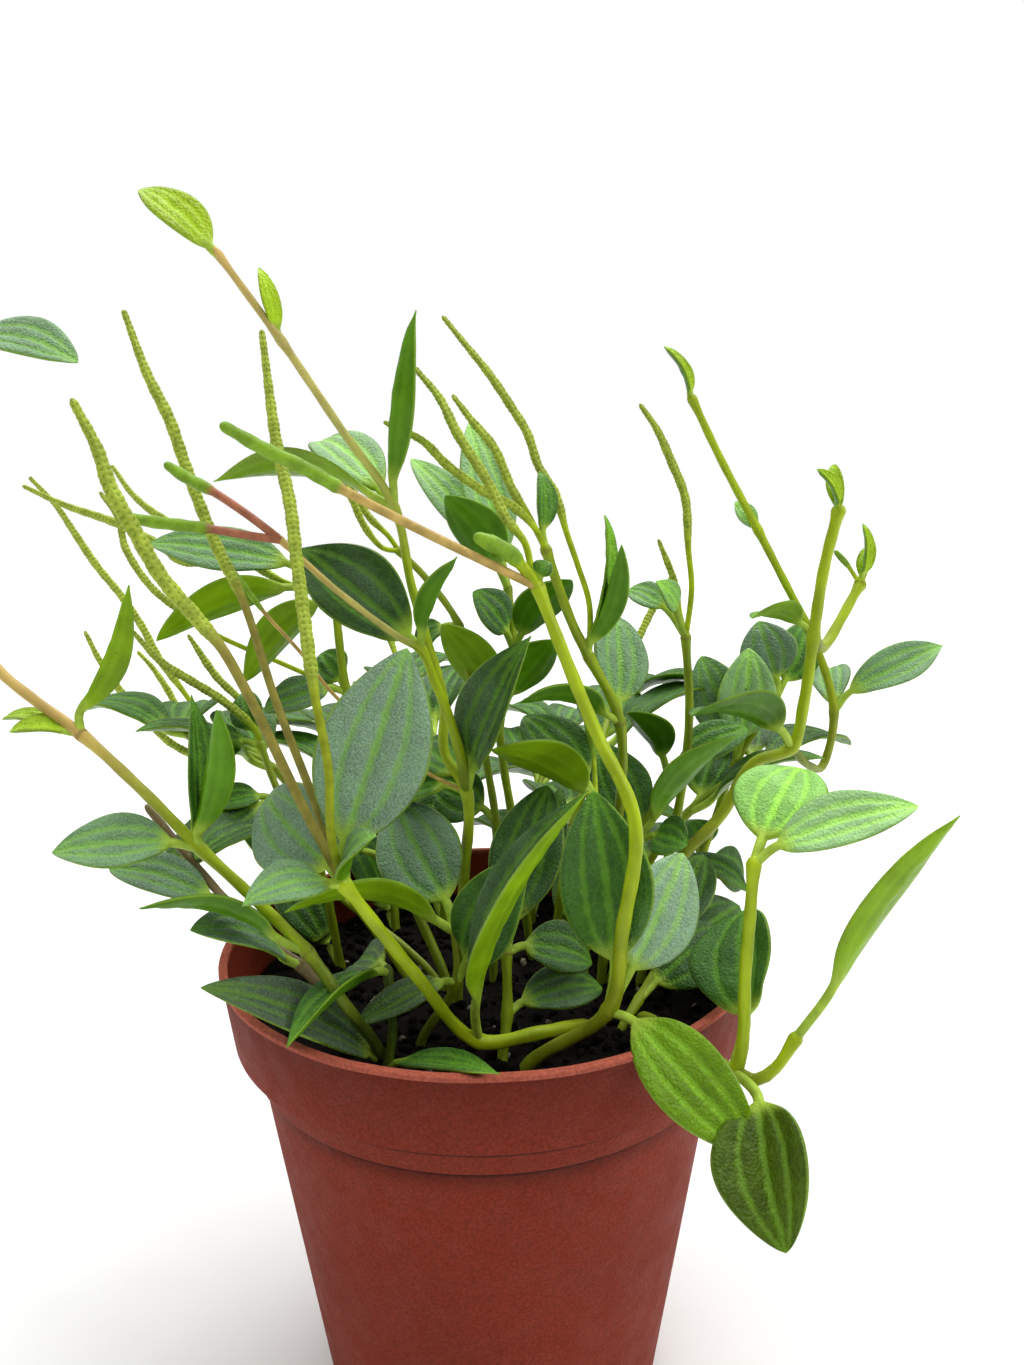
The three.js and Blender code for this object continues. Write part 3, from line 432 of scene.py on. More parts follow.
stem("centre_right", 2.2, [
  [23, -1, 83], [26, 0, 112], [26, -6, 139], [20, -8, 152], [17, -10, 158], [14, -11, 166],
  [12, -12, 172],
], [
  leaf(3, [25, -16, 173], 7, [0.8, 0.4, 0.4], 40, 3, 0.03),
  leaf(2, [26, 8, 158], 12, [0.3, -0.9, 0.2], 14, 4, 0.08),
  leaf(2, [7, -16, 145], 9, [0, 0.5, 0.85], 22, 4),
  leaf(3, [23, -6, 178], 5, [0.6, -0.4, 0.4], 25, 3),
  leaf(6, [11, -8, 186], 5, [0.5, -0.6, 0.4], 20, 4),
], [
  spike(6, [[9, -12, 178], [6, -11, 183], [3, -10, 190], [-1, -8, 195], [-4, -7, 199]], 1, 0.95),
  spike(6, [
    [10, -14, 176], [6, -15, 180], [2, -16, 182], [-5, -17, 187], [-9, -17, 191], [-15, -17, 194],
  ], 1, 0.95),
  spike(3, [
    [20, -8, 162], [18, -6, 169], [16, -5, 175], [14, -4, 182], [11, -3, 187], [9, -2, 193],
    [6, -1, 198], [2, 0, 204], [-2, 1, 209], [-6, 2, 214],
  ], 3, 0.95),
])
stem("right_spike", 2.2, [[31, -1, 83], [40, 8, 119], [42, 10, 136], [41, 10, 153]], [
  leaf(3, [30, 18, 162], 7, [0.1, -0.8, 0.6], 14, 8),
  leaf(3, [34, 4, 165], 6, [0.2, -0.8, 0.5], 12, 7),
], [
  spike(3, [
    [42, 10, 163], [41, 9, 171], [40, 8, 181], [37, 7, 188], [34, 6, 194], [31, 5, 198],
  ], 2, 1),
  spike(3, [[40, 12, 158], [39, 13, 164], [36, 14, 172]], 1, 0.9),
])
stem("right_thick", 2.9, [
  [25, -1, 83], [37, 0, 107], [48, 5, 117], [55, 8, 127], [63, 9, 130], [65, 8, 140], [66, 7, 153],
  [67, 5, 167], [69, 4, 178],
], [
  leaf(4, [40, -5, 140], 16, [0.1, 0.5, 0.85], 14, 7),
  leaf(8, [64, 2, 186], 4, [0.3, -0.6, 0.5], 35, 1),
  leaf(8, [69, 8, 187], 4, [-0.3, -0.6, 0.5], 35, 1),
], [], [
  branch(6, 2.8, [[71, 16, 150], [81, 25, 162]], [
    leaf(2, [81, 25, 175], 4, [0.5, -0.7, 0.3], 35, 2),
    leaf(2, [85, 30, 170], 4, [-0.5, -0.6, 0.4], 35, 2),
  ], [
    spike(2, [[78, 24, 166], [75, 23, 169]], 1, 0.8, "young"),
  ]),
  branch(4, 2, [
    [68, 14, 125], [73, 20, 123], [75, 20, 135], [69, 20, 153], [66, 19, 158], [57, 18, 174],
    [48, 15, 189], [42, 13, 200],
  ], [
    leaf(3, [101, 28, 148], 10, [0.1, -0.75, 0.7], 24, 6, 0.08),
    leaf(3, [82, 45, 140], 9, [-0.3, -0.6, 0.6], 14, 3),
    leaf(4, [54, 8, 157], 9, [0, 0.5, 0.85], 14, 4),
    leaf(6, [53, 22, 180], 4, [-0.3, -0.8, 0.4], 14, 1),
    leaf(8, [36, 12, 210], 4, [0.6, -0.5, 0.4], 30, 1),
  ]),
])
stem("right_trail", 2.6, [
  [29, -16, 83], [32, -32, 90], [36, -39, 91], [41, -43, 89], [43, -41, 107], [44, -40, 123],
], [
  leaf(3, [48, -20, 107], 18, [-0.65, -0.6, 0.45], 26, 9, 0.06),
  leaf(3, [44, -66, 74], 17, [-0.4, -0.85, 0.3], 30, 8, 0.05),
  leaf(5, [56, -22, 134], 16, [-0.45, -0.8, 0.4], 14, 5, 0.06),
  leaf(5, [69, -42, 133], 10, [0, -0.65, 0.8], 16, 5, 0.06),
], [], [
  branch(3, 2.4, [[44, -46, 89], [47, -46, 91], [50, -46, 96]], [
    leaf(3, [72, -50, 134], 9, [-0.35, 0.8, 0.5], 12, 11, 0.04),
  ]),
])
stem("left_long", 2.3, [
  [-18, -29, 83], [-23, -38, 99], [-29, -36, 107], [-39, -34, 117], [-47, -32, 124],
  [-57, -30, 134], [-67, -28, 143], [-75, -27, 149], [-81, -26, 154], [-88, -23, 163],
  [-94, -18, 175], [-95, -13, 191], [-94, -8, 208],
], [
  leaf(0, [-44, -46, 106], 12, [0.1, -0.4, 0.9], 14, 4, 0.07),
  leaf(2, [-53, -45, 119], 10, [0, 0.5, 0.85], 16, 6),
  leaf(4, [-49, -25, 149], 8, [0.7, -0.5, 0.5], 34, 2, 0.03),
  leaf(4, [-41, -38, 149], 8, [0.5, 0.75, 0.3], 38, 3, 0.03),
  leaf(4, [-70, -36, 125], 11, [0, -0.65, 0.8], 16, 5, 0.06),
  leaf(6, [-57, -28, 168], 8, [0.7, 0.5, 0.3], 34, 4, 0.03),
  leaf(6, [-78, -30, 144], 5, [0, -0.4, 0.85], 20, 3),
  leaf(6, [-84, -20, 144], 4, [0, -0.4, 0.85], 20, 3),
  leaf(12, [-68, -14, 205], 12, [0, -0.6, 0.8], 12, 6, 0.08),
  leaf(12, [-107, -4, 212], 11, [-0.2, -0.6, 0.8], 12, 5, 0.08),
], [
  spike(9, [[-89, -26, 168], [-93, -26, 175], [-96, -25, 182], [-98, -23, 190]], 1, 1.2),
])
stem("left_woody", 2.2, [
  [-23, -21, 83], [-30, -25, 96], [-33, -24, 99], [-41, -20, 103], [-47, -16, 107],
  [-54, -12, 113], [-63, -10, 124],
], [
  leaf(2, [-47, -40, 113], 12, [0, -0.5, 0.85], 14, 4),
  leaf(4, [-70, -14, 114], 9, [0, -0.6, 0.8], 18, 5),
])
stem("front_low", 2, [[-17, -32, 83], [-16, -31, 90], [-17, -27, 99]], [
  leaf(0, [3, -55, 96], 7, [0.1, -0.3, 0.95], 18, 4, 0.02),
  leaf(2, [-30, -50, 98], 9, [-0.55, -0.65, 0.5], 34, 3, 0.05),
  leaf(2, [-24, -16, 95], 9, [0, -0.6, 0.8], 14, 3),
])
stem("front_mid", 2, [[-12, -23, 83], [-5, -25, 96], [-5, -24, 105]], [
  leaf(1, [-22, -33, 92], 7, [0.1, -0.5, 0.85], 30, 3, 0.05),
  leaf(1, [8, -30, 121], 14, [-0.35, -0.8, 0.5], 18, 5, 0.05),
  leaf(2, [-32, -38, 115], 13, [0, 0.55, 0.8], 14, 5, 0.12),
  leaf(2, [-17, -7, 124], 16, [-0.1, -0.85, 0.5], 10, 6, 0.05),
])
stem("front_centre", 2.2, [[3, -30, 83], [4, -26, 90], [4, -22, 100]], [
  leaf(2, [12, -10, 128], 14, [-0.2, -0.85, 0.4], 12, 7, 0.05),
  leaf(2, [20, -16, 95], 11, [0, -0.6, 0.8], 14, 4),
  leaf(2, [15, -4, 126], 8, [0.2, -0.8, 0.4], 14, 6),
  leaf(1, [22, -14, 89], 10, [0, -0.55, 0.85], 14, 4),
])
stem("right_low", 2, [[25, -20, 83], [29, -15, 87], [35, -8, 93]], [
  leaf(1, [47, -4, 96], 14, [-0.1, -0.75, 0.65], 10, 5, 0.05),
  leaf(2, [53, 8, 96], 13, [0, -0.75, 0.65], 10, 4, 0.05),
  leaf(2, [46, 12, 106], 11, [-0.2, -0.7, 0.65], 14, 5),
])
stem("centre_back_a", 2, [[9, 11, 83], [6, 5, 112], [3, 8, 137], [6, 10, 151], [5, 14, 163]], [
  leaf(2, [-8, 4, 157], 11, [0.1, 0.75, 0.6], 12, 5, 0.06),
  leaf(2, [14, 2, 154], 11, [-0.2, 0.8, 0.5], 12, 6, 0.04),
  leaf(3, [17, -2, 166], 11, [-0.2, 0.7, 0.6], 12, 4, 0.05),
  leaf(3, [-2, 8, 163], 11, [0.1, -0.6, 0.8], 14, 4, 0.05),
  leaf(4, [-7, 8, 182], 12, [0.3, 0.8, 0.4], 12, 5, 0.05),
  leaf(4, [-3, 28, 197], 11, [0.2, -0.8, 0.5], 12, 7, 0.06),
  leaf(4, [-16, 34, 190], 9, [0.1, -0.8, 0.5], 12, 10, 0.06),
])
stem("centre_right_b", 2, [[19, -5, 83], [20, -12, 110], [21, -12, 125]], [
  leaf(2, [2, -22, 138], 14, [0.05, 0.6, 0.8], 12, 4, 0.08),
  leaf(2, [8, 6, 138], 12, [0, -0.7, 0.7], 12, 5, 0.05),
  leaf(1, [12, 2, 114], 10, [0, -0.7, 0.7], 12, 5, 0.05),
], [
  spike(2, [[21, -6, 132], [20, -2, 139], [19, 2, 144]], 1, 0.9, "young"),
])
stem("right_mid", 2, [[28, 3, 83], [31, 8, 98], [31, 4, 112], [38, 12, 124]], [
  leaf(2, [49, -2, 135], 12, [-0.3, 0.6, 0.75], 16, 6, 0.06),
  leaf(2, [40, -2, 113], 10, [0, -0.75, 0.65], 14, 4, 0.08),
  leaf(2, [24, 14, 130], 13, [0, -0.9, 0.4], 12, 3, 0.06),
  leaf(3, [29, 8, 138], 11, [0.5, 0.6, 0.6], 22, 4, 0.08),
  leaf(3, [56, 18, 132], 10, [0, -0.6, 0.8], 14, 5, 0.06),
])
stem("right_back", 2, [[35, 3, 83], [47, 22, 100], [56, 28, 122], [65, 30, 136]], [
  leaf(2, [58, 28, 148], 14, [0.1, -0.9, 0.3], 10, 6, 0.06),
  leaf(2, [48, 30, 146], 13, [-0.2, -0.9, 0.3], 10, 6, 0.06),
  leaf(3, [62, 36, 153], 13, [-0.2, -0.9, 0.3], 10, 5, 0.06),
  leaf(3, [74, 40, 152], 11, [0.2, -0.9, 0.3], 10, 5, 0.06),
  leaf(1, [46, 30, 108], 11, [0, -0.8, 0.5], 12, 4, 0.06),
  leaf(1, [59, 30, 93], 11, [0, -0.7, 0.6], 12, 4, 0.06),
])
stem("left_back_a", 2, [[-13, -8, 83], [-29, 2, 103], [-42, 8, 120], [-47, 12, 131]], [
  leaf(2, [-56, 4, 120], 9, [0, -0.4, 0.9], 16, 5, 0.05),
  leaf(2, [-63, -8, 110], 11, [-0.1, -0.7, 0.65], 12, 5, 0.05),
  leaf(3, [-58, 12, 130], 9, [-0.1, -0.7, 0.65], 10, 4),
  leaf(3, [-52, 20, 141], 8, [-0.3, -0.7, 0.5], 14, 4, 0.05),
], [
  spike(3, [[-48, 13, 134], [-55, 15, 140], [-62, 17, 144], [-69, 19, 148], [-75, 21, 154]], 1, 1.1),
  spike(3, [[-52, 20, 138], [-59, 24, 144], [-65, 27, 152]], 1, 1),
])
stem("left_back_b", 1.8, [[-10, 0, 83], [-35, 16, 98], [-55, 26, 110]], [
  leaf(2, [-64, 34, 104], 8, [0, -0.6, 0.8], 14, 3, 0.05),
  leaf(1, [-56, 20, 116], 11, [0, -0.8, 0.6], 12, 4, 0.05),
], [
  spike(2, [
    [-65, 34, 131], [-70, 36, 138], [-76, 38, 146], [-80, 40, 153], [-85, 42, 160], [-91, 44, 167],
    [-96, 46, 174], [-101, 48, 181], [-107, 50, 187],
  ], 2, 1.05),
  spike(2, [
    [-58, 28, 116], [-65, 30, 123], [-73, 31, 128], [-77, 32, 132], [-82, 33, 137], [-88, 34, 146],
    [-91, 35, 152],
  ], 2, 1.05),
  spike(2, [[-66, 40, 121], [-73, 42, 131], [-76, 43, 137], [-80, 44, 143], [-83, 45, 146]], 1, 0.95),
])
stem("left_mid", 2.2, [[-8, -2, 83], [-20, 6, 110], [-25, 8, 132], [-28, 8, 143], [-30, 10, 162]], [
  leaf(3, [-44, 4, 140], 10, [-0.1, -0.6, 0.75], 14, 4, 0.05),
  leaf(3, [-34, 14, 150], 9, [-0.3, -0.6, 0.6], 14, 3, 0.05),
  leaf(1, [-6, 14, 120], 12, [0, -0.8, 0.6], 12, 5, 0.05),
  leaf(4, [-46, -2, 147], 12, [-0.1, 0.65, 0.7], 14, 4, 0.05),
  leaf(4, [-63, 0, 155], 12, [0, 0.6, 0.75], 12, 10, 0.08),
  leaf(4, [-68, 14, 173], 11, [0.1, -0.75, 0.6], 12, 12, 0.06),
], [
  spike(4, [
    [-41, 14, 165], [-50, 18, 169], [-64, 22, 169], [-69, 25, 172], [-80, 29, 177], [-93, 34, 181],
    [-103, 38, 185],
  ], 1, 1.1),
  spike(4, [[-42, 20, 169], [-56, 26, 172], [-71, 32, 178], [-78, 35, 183], [-83, 38, 189]], 1, 1),
  spike(3, [
    [-42, 14, 148], [-56, 16, 154], [-64, 18, 159], [-70, 19, 164], [-75, 20, 172], [-76, 20, 178],
    [-79, 20, 183],
  ], 2, 0.9),
])

# The stems at the back. Every random draw comes from one seeded series.
series = BACK_SEED


def draw(low, high):
    global series
    series = (series * 1664525 + 1013904223) % 4294967296
    return low + ((high - low) * series) / 4294967296


def polar(r, bearing, z):
    """A point at a distance from the pot's axis, at a bearing in degrees from +X."""
    return [r * math.cos(math.radians(bearing)), r * math.sin(math.radians(bearing)), z]


def plus(p, q):
    return [a + b for a, b in zip(p, q)]


def facing(aim):
    """The way that the upper side of a back leaf looks."""
    return polar(0.5, aim, 0.85)


def back_leaf(route, knot, aim, length, rise, width, fold, arch):
    tip = plus(route[knot], polar(length, aim, rise))
    return leaf(knot, tip, width, facing(aim), fold, BACK_STALK, arch)


for i in range(BACK_STEMS):
    bearing = BACK_FIRST + BACK_SPREAD * i / (BACK_STEMS - 1) + draw(*BACK_SWAY)
    foot_r = draw(*BACK_FOOT_R)
    lift = (i % 2) * BACK_STAGGER + draw(*BACK_LIFT)
    route = [polar(foot_r, bearing, SOIL_Z)]
    for out, height, sway in BACK_ROUTE:
        route.append(polar(foot_r + out, bearing + draw(-sway, sway), height + lift))
    leaves = []
    for knot, side in [(1, -1), (1, 1), (2, -1), (2, 1), (3, -1 if i % 2 else 1)]:
        is_middle = knot == MIDDLE_KNOT
        aim = bearing + side * draw(*(MIDDLE_AIM if is_middle else PAIR_AIM))
        length = draw(*PAIR_LENGTH)
        rise = draw(*(MIDDLE_RISE if is_middle else PAIR_RISE))
        fold = draw(*PAIR_FOLD)
        leaves.append(back_leaf(route, knot, aim, length, rise, length * PAIR_WIDTH, fold, PAIR_ARCH))
    out, aside, rise = draw(*FOOT_LEAF["out"]), draw(*FOOT_LEAF["aside"]), draw(*FOOT_LEAF["rise"])
    low = plus(route[0], polar(out, bearing + aside, rise))
    leaves.append(leaf(0, low, FOOT_LEAF["width"], facing(bearing), BACK_FOLD, BACK_STALK, FOOT_LEAF["arch"]))
    out, rise = draw(*END_LEAF["out"]), draw(*END_LEAF["rise"])
    leaves.append(back_leaf(route, 3, bearing, out, rise, END_LEAF["width"], BACK_FOLD, END_LEAF["arch"]))
    spikes = []
    if i % 2 == 1 and i < BACK_STEMS - 1:
        lean = draw(*BACK_SWAY)
        places = []
        for k in BACK_SPIKE_POINTS:
            rise = k * BACK_SPIKE_RISE - k * k * BACK_SPIKE_DROOP
            places.append(plus(route[3], polar(k * BACK_SPIKE_OUT, bearing + k * lean, rise)))
        spikes.append(spike(3, places, 1, BACK_SPIKE_R))
    stem(f"back_{i + 1}", BACK_GIRTH, route, leaves, spikes)


def unit(v):
    return v / np.linalg.norm(v)


def direction_at(route, knot):
    """The way that a route runs at one of its points."""
    before = np.array(route[max(0, knot - 1)], float)
    after = np.array(route[min(len(route) - 1, knot + 1)], float)
    return unit(after - before)


def smooth(value, low, high):
    """0 below low, 1 above high, with an even curve between them."""
    t = np.clip((value - low) / (high - low), 0, 1)
    return t * t * (3 - 2 * t)


def along_route(route, step):
    """Stations along a smooth curve through the route's points: their number on the route and their place."""
    points = np.array(route, float)
    padded = np.vstack([2 * points[0] - points[1], points, 2 * points[-1] - points[-2]])
    ats, places = [], []
    spans = len(points) - 1
    for span in range(spans):
        p0, p1, p2, p3 = padded[span : span + 4]
        d0, d1, d2 = (math.sqrt(np.linalg.norm(b - a)) for a, b in ((p0, p1), (p1, p2), (p2, p3)))
        m1 = ((p1 - p0) / d0 - (p2 - p0) / (d0 + d1) + (p2 - p1) / d1) * d1
        m2 = ((p2 - p1) / d1 - (p3 - p1) / (d1 + d2) + (p3 - p2) / d2) * d1
        count = max(2, round(np.linalg.norm(p2 - p1) / step))
        t = np.linspace(0, 1, count + 1)[:, None]
        if span < spans - 1:
            t = t[:-1]
        ats.append(span + t[:, 0])
        places.append(p1 + m1 * t + (3 * (p2 - p1) - 2 * m1 - m2) * t**2 + (2 * (p1 - p2) + m1 + m2) * t**3)
    return np.concatenate(ats), np.vstack(places)


def extended(at, place, reach, shares):
    """The same stations with more past the end, at shares of a reach."""
    ahead = unit(place[-1] - place[-2])
    more = place[-1] + ahead * reach * np.array(shares)[:, None]
    return np.concatenate([at, np.full(len(shares), at[-1])]), np.vstack([place, more])


def tangents(place):
    run = np.gradient(place, axis=0)
    return run / np.linalg.norm(run, axis=1)[:, None]


def lengths(place):
    return np.concatenate([[0], np.cumsum(np.linalg.norm(np.diff(place, axis=0), axis=1))])


def round_rings(place, radius):
    """Rings of points round a run of places. radius has a number for each point of each ring."""
    across = np.array(START_ACROSS)
    first, second = [], []
    for t in tangents(place):
        across = unit(across - t * across.dot(t))
        first.append(across)
        second.append(np.cross(t, across))
    angle = angles(radius.shape[1])[:, None]
    outward = np.array(first)[:, None] * np.cos(angle) + np.array(second)[:, None] * np.sin(angle)
    return place[:, None] + radius[..., None] * outward


# The two materials of a leafy piece, in the order in which its mesh has them.
LEAF_SLOT = 0
STEM_SLOT = 1


class Shape:
    """Skins over rings of points, collected into one mesh with a UV map and two attributes that the
    materials read: Tint, a colour with a share in its fourth number, and Half, which is half a leaf's
    width in millimetres or a spike's number of rows of florets."""

    def __init__(self):
        self.points, self.faces, self.uvs, self.tints, self.halves, self.slots = [], [], [], [], [], []
        self.count = 0

    def skin(self, rings, along, around, tint, half=0.0, slot=0):
        """rings is a grid of points, row after row. around has one number more than a row has points."""
        rows, sides = rings.shape[:2]
        around = np.asarray(around, float)
        index = np.arange(rows * sides).reshape(rows, sides)
        beside = np.roll(index, -1, axis=1)
        walls = np.stack([index[:-1], beside[:-1], beside[1:], index[1:]], axis=-1).reshape(-1, 4)
        u = np.repeat(np.asarray(along, float)[:, None], sides, axis=1)
        v = np.broadcast_to(around[:-1], (rows, sides))
        v_beside = np.broadcast_to(around[1:], (rows, sides))
        wall_u = np.stack([u[:-1], u[:-1], u[1:], u[1:]], axis=-1).reshape(-1, 4)
        wall_v = np.stack([v[:-1], v_beside[:-1], v_beside[1:], v[1:]], axis=-1).reshape(-1, 4)
        k = np.arange(sides // 2 - 1)
        start = np.stack([k, sides - 1 - k, sides - 2 - k, k + 1], axis=-1)
        end = (start + (rows - 1) * sides)[:, ::-1]
        faces = np.vstack([walls, start, end])
        face_u = np.vstack([wall_u, np.full(start.shape, along[0]), np.full(end.shape, along[-1])])
        face_v = np.vstack([wall_v, around[start], around[start][:, ::-1]])
        flat = rings.reshape(-1, 3)
        a, b, c, d = (flat[faces[:, i]] for i in range(4))
        if np.einsum("ij,ij->i", a, np.cross(b, c) + np.cross(c, d)).sum() < 0:
            faces, face_u, face_v = faces[:, ::-1], face_u[:, ::-1], face_v[:, ::-1]
        self.points.append(flat)
        self.faces.append(faces + self.count)
        self.uvs.append(np.stack([face_u, face_v], axis=-1).reshape(-1, 2))
        self.tints.append(np.broadcast_to(tint, (rows, sides, 4)).reshape(-1, 4))
        self.halves.append(np.broadcast_to(half, (rows, sides)).reshape(-1))
        self.slots.append(np.full(len(faces), slot))
        self.count += len(flat)

    def build(self, name, materials):
        points = np.vstack(self.points) * MM
        faces = np.vstack(self.faces)
        mesh = bpy.data.meshes.new(name)
        mesh.vertices.add(len(points))
        mesh.vertices.foreach_set("co", points.astype(np.float32).ravel())
        mesh.loops.add(faces.size)
        mesh.loops.foreach_set("vertex_index", faces.astype(np.int32).ravel())
        mesh.polygons.add(len(faces))
        mesh.polygons.foreach_set("loop_start", np.arange(0, faces.size, 4, dtype=np.int32))
        for material in materials:
            mesh.materials.append(material)
        mesh.polygons.foreach_set("material_index", np.concatenate(self.slots).astype(np.int32))
        mesh.polygons.foreach_set("use_smooth", np.ones(len(faces), bool))
        uv = mesh.uv_layers.new(name="Grid")
        uv.data.foreach_set("uv", np.vstack(self.uvs).astype(np.float32).ravel())
        tint = mesh.attributes.new("Tint", "FLOAT_COLOR", "POINT")
        tint.data.foreach_set("color", np.vstack(self.tints).astype(np.float32).ravel())
        half = mesh.attributes.new("Half", "FLOAT", "POINT")
        half.data.foreach_set("value", np.concatenate(self.halves).astype(np.float32))
        mesh.update()
        piece = bpy.data.objects.new(name, mesh)
        bpy.context.scene.collection.objects.link(piece)
        return piece


def even_around(sides):
    return np.arange(sides + 1) / sides


def angles(sides):
    return FULL_TURN * np.arange(sides) / sides


def hump(away, reach):
    """1 in the middle, and falling off to both sides."""
    return np.exp(-((away / reach) ** 2))


def blunted(count):
    """Shares of the radius for a number of rings, of which the last ones round off the end."""
    return np.concatenate([np.ones(count - len(END_SHARES)), np.sqrt(1 - np.array(END_SHARES) ** 2)])


def limbs_of(item):
    """A stem and its branches, each with its own route. A stem's tube starts at its root in the soil."""
    route = item["route"]
    lean = direction_at(route, 0)
    root = [route[0][0] - lean[0] * ROOT_LEAN, route[0][1] - lean[1] * ROOT_LEAN, route[0][2] - ROOT_DEPTH]
    forks = [side["knot"] for side in item["branches"]]
    limbs = [dict(item, forks=forks, tube=[root] + route, before=1)]
    for side in item["branches"]:
        side_route = [route[side["knot"]]] + side["route"]
        limbs.append(dict(side, route=side_route, forks=[], tube=side_route, before=0))
    return limbs


def add_stem(shape, limb, tones, end_share, chance):
    """A stem's tube: four soft ridges, a swelling with a scar at each knot, and a rounded end."""
    route = limb["tube"]
    at, place = along_route(route, STEM_STEP)
    at, place = extended(at, place, STEM_END, END_SHARES)
    gone = lengths(place)
    taper = 1 - (1 - end_share) * at / (len(route) - 1)
    radius = limb["girth"] / 2 * STEM_ROUND * taper
    scar = np.zeros(len(at))
    knots = {item["knot"] for item in limb["leaves"] + limb["spikes"]} | set(limb["forks"])
    for knot in knots:
        away = gone - gone[np.argmin(abs(at - knot - limb["before"]))]
        radius = radius * (1 + KNUCKLE * hump(away, KNUCKLE_REACH))
        scar = np.maximum(scar, chance.uniform(*SCAR_DEPTH) * hump(away, SCAR_REACH))
    wobble = 1 + STEM_WOBBLE * np.sin(gone * WOBBLE_PITCH + chance.uniform(*ANY_PHASE))
    ridges = 1 + STEM_RIDGE * np.cos(STEM_RIDGES * angles(STEM_SIDES))
    ridged = (radius * wobble * blunted(len(at)))[:, None] * ridges
    ridged[-1] = STEM_TIP_R
    share = at / (len(route) - 1)
    tint = np.ones((len(at), STEM_SIDES, 4))
    stops = np.array([stop for stop, _ in tones])
    for channel in range(3):
        values = np.array([tone[channel] for _, tone in tones])
        tint[..., channel] = np.interp(share, stops, values)[:, None]
    tint[..., 3] = scar[:, None]
    shape.skin(round_rings(place, ridged), gone, even_around(STEM_SIDES), tint, slot=STEM_SLOT)


def outline(u, blunt):
    """Half the blade's width at a share of its length, with 1 at the widest place."""
    pointed_power, blunt_power = (start + change * u for start, change in (POINTED_POWER, BLUNT_POWER))
    power = pointed_power * (1 - blunt) + blunt_power * blunt
    return np.sin(math.pi * np.clip(u, 0, 1) ** WIDEST_POWER) ** power


def bezier(points, t):
    """Places and directions on a curve of two or three control spans, at shares t."""
    points = [np.array(p, float) for p in points]
    t = t[:, None]
    if len(points) == 3:
        a, b, c = points
        place = (1 - t) ** 2 * a + 2 * t * (1 - t) * b + t**2 * c
        run = (1 - t) * (b - a) + t * (c - b)
    else:
        a, b, c, d = points
        place = (1 - t) ** 3 * a + 3 * t * (1 - t) ** 2 * b + 3 * t**2 * (1 - t) * c + t**3 * d
        run = (1 - t) ** 2 * (b - a) + 2 * t * (1 - t) * (c - b) + t**2 * (d - c)
    return place, run / np.linalg.norm(run, axis=1)[:, None]


def leaf_line(route, item):
    """Places, directions and shares of the blade's length, down the middle of the stalk and the blade."""
    root = np.array(route[item["knot"]], float)
    tip = np.array(item["tip"], float)
    looks = np.array(item["face"], float)
    rise = unit(unit(tip - root) + direction_at(route, item["knot"]) * STALK_RISE)
    base = root + rise * item["stalk"]
    run = tip - base
    length = np.linalg.norm(run)
    upper = unit(looks - run * looks.dot(run) / run.dot(run))
    crest = (base + tip) / 2 + upper * 2 * item["arch"] * length
    start = unit(crest - base)
    reach = np.linalg.norm(base - root) / 3
    stalk_at = np.linspace(0, 1, STALK_RINGS + 1)[:-1]
    stalk_place, stalk_run = bezier([root, root + rise * reach, base - start * reach, base], stalk_at)
    t = np.linspace(0, 1, SMALL_RINGS if item["width"] < SMALL_BLADE else BLADE_RINGS)
    u = EVEN_SHARE * t + (1 - EVEN_SHARE) * (0.5 - 0.5 * np.cos(math.pi * t))
    blade_place, blade_run = bezier([base, crest, tip], u)
    share = np.concatenate([(stalk_at - 1) * item["stalk"] / length, u])
    return np.vstack([stalk_place, blade_place]), np.vstack([stalk_run, blade_run]), share, length


def leaf_columns():
    """Places across a ring, from -1 to 1 above and back below, and 1 above, -1 below or 0 at the edge."""
    columns = np.concatenate([-COLUMNS[:0:-1], COLUMNS])
    across = np.concatenate([columns, columns[-2:0:-1]])
    face = np.concatenate([np.ones(len(columns)), -np.ones(len(columns) - 2)])
    face[[0, len(columns) - 1]] = 0
    return across, face


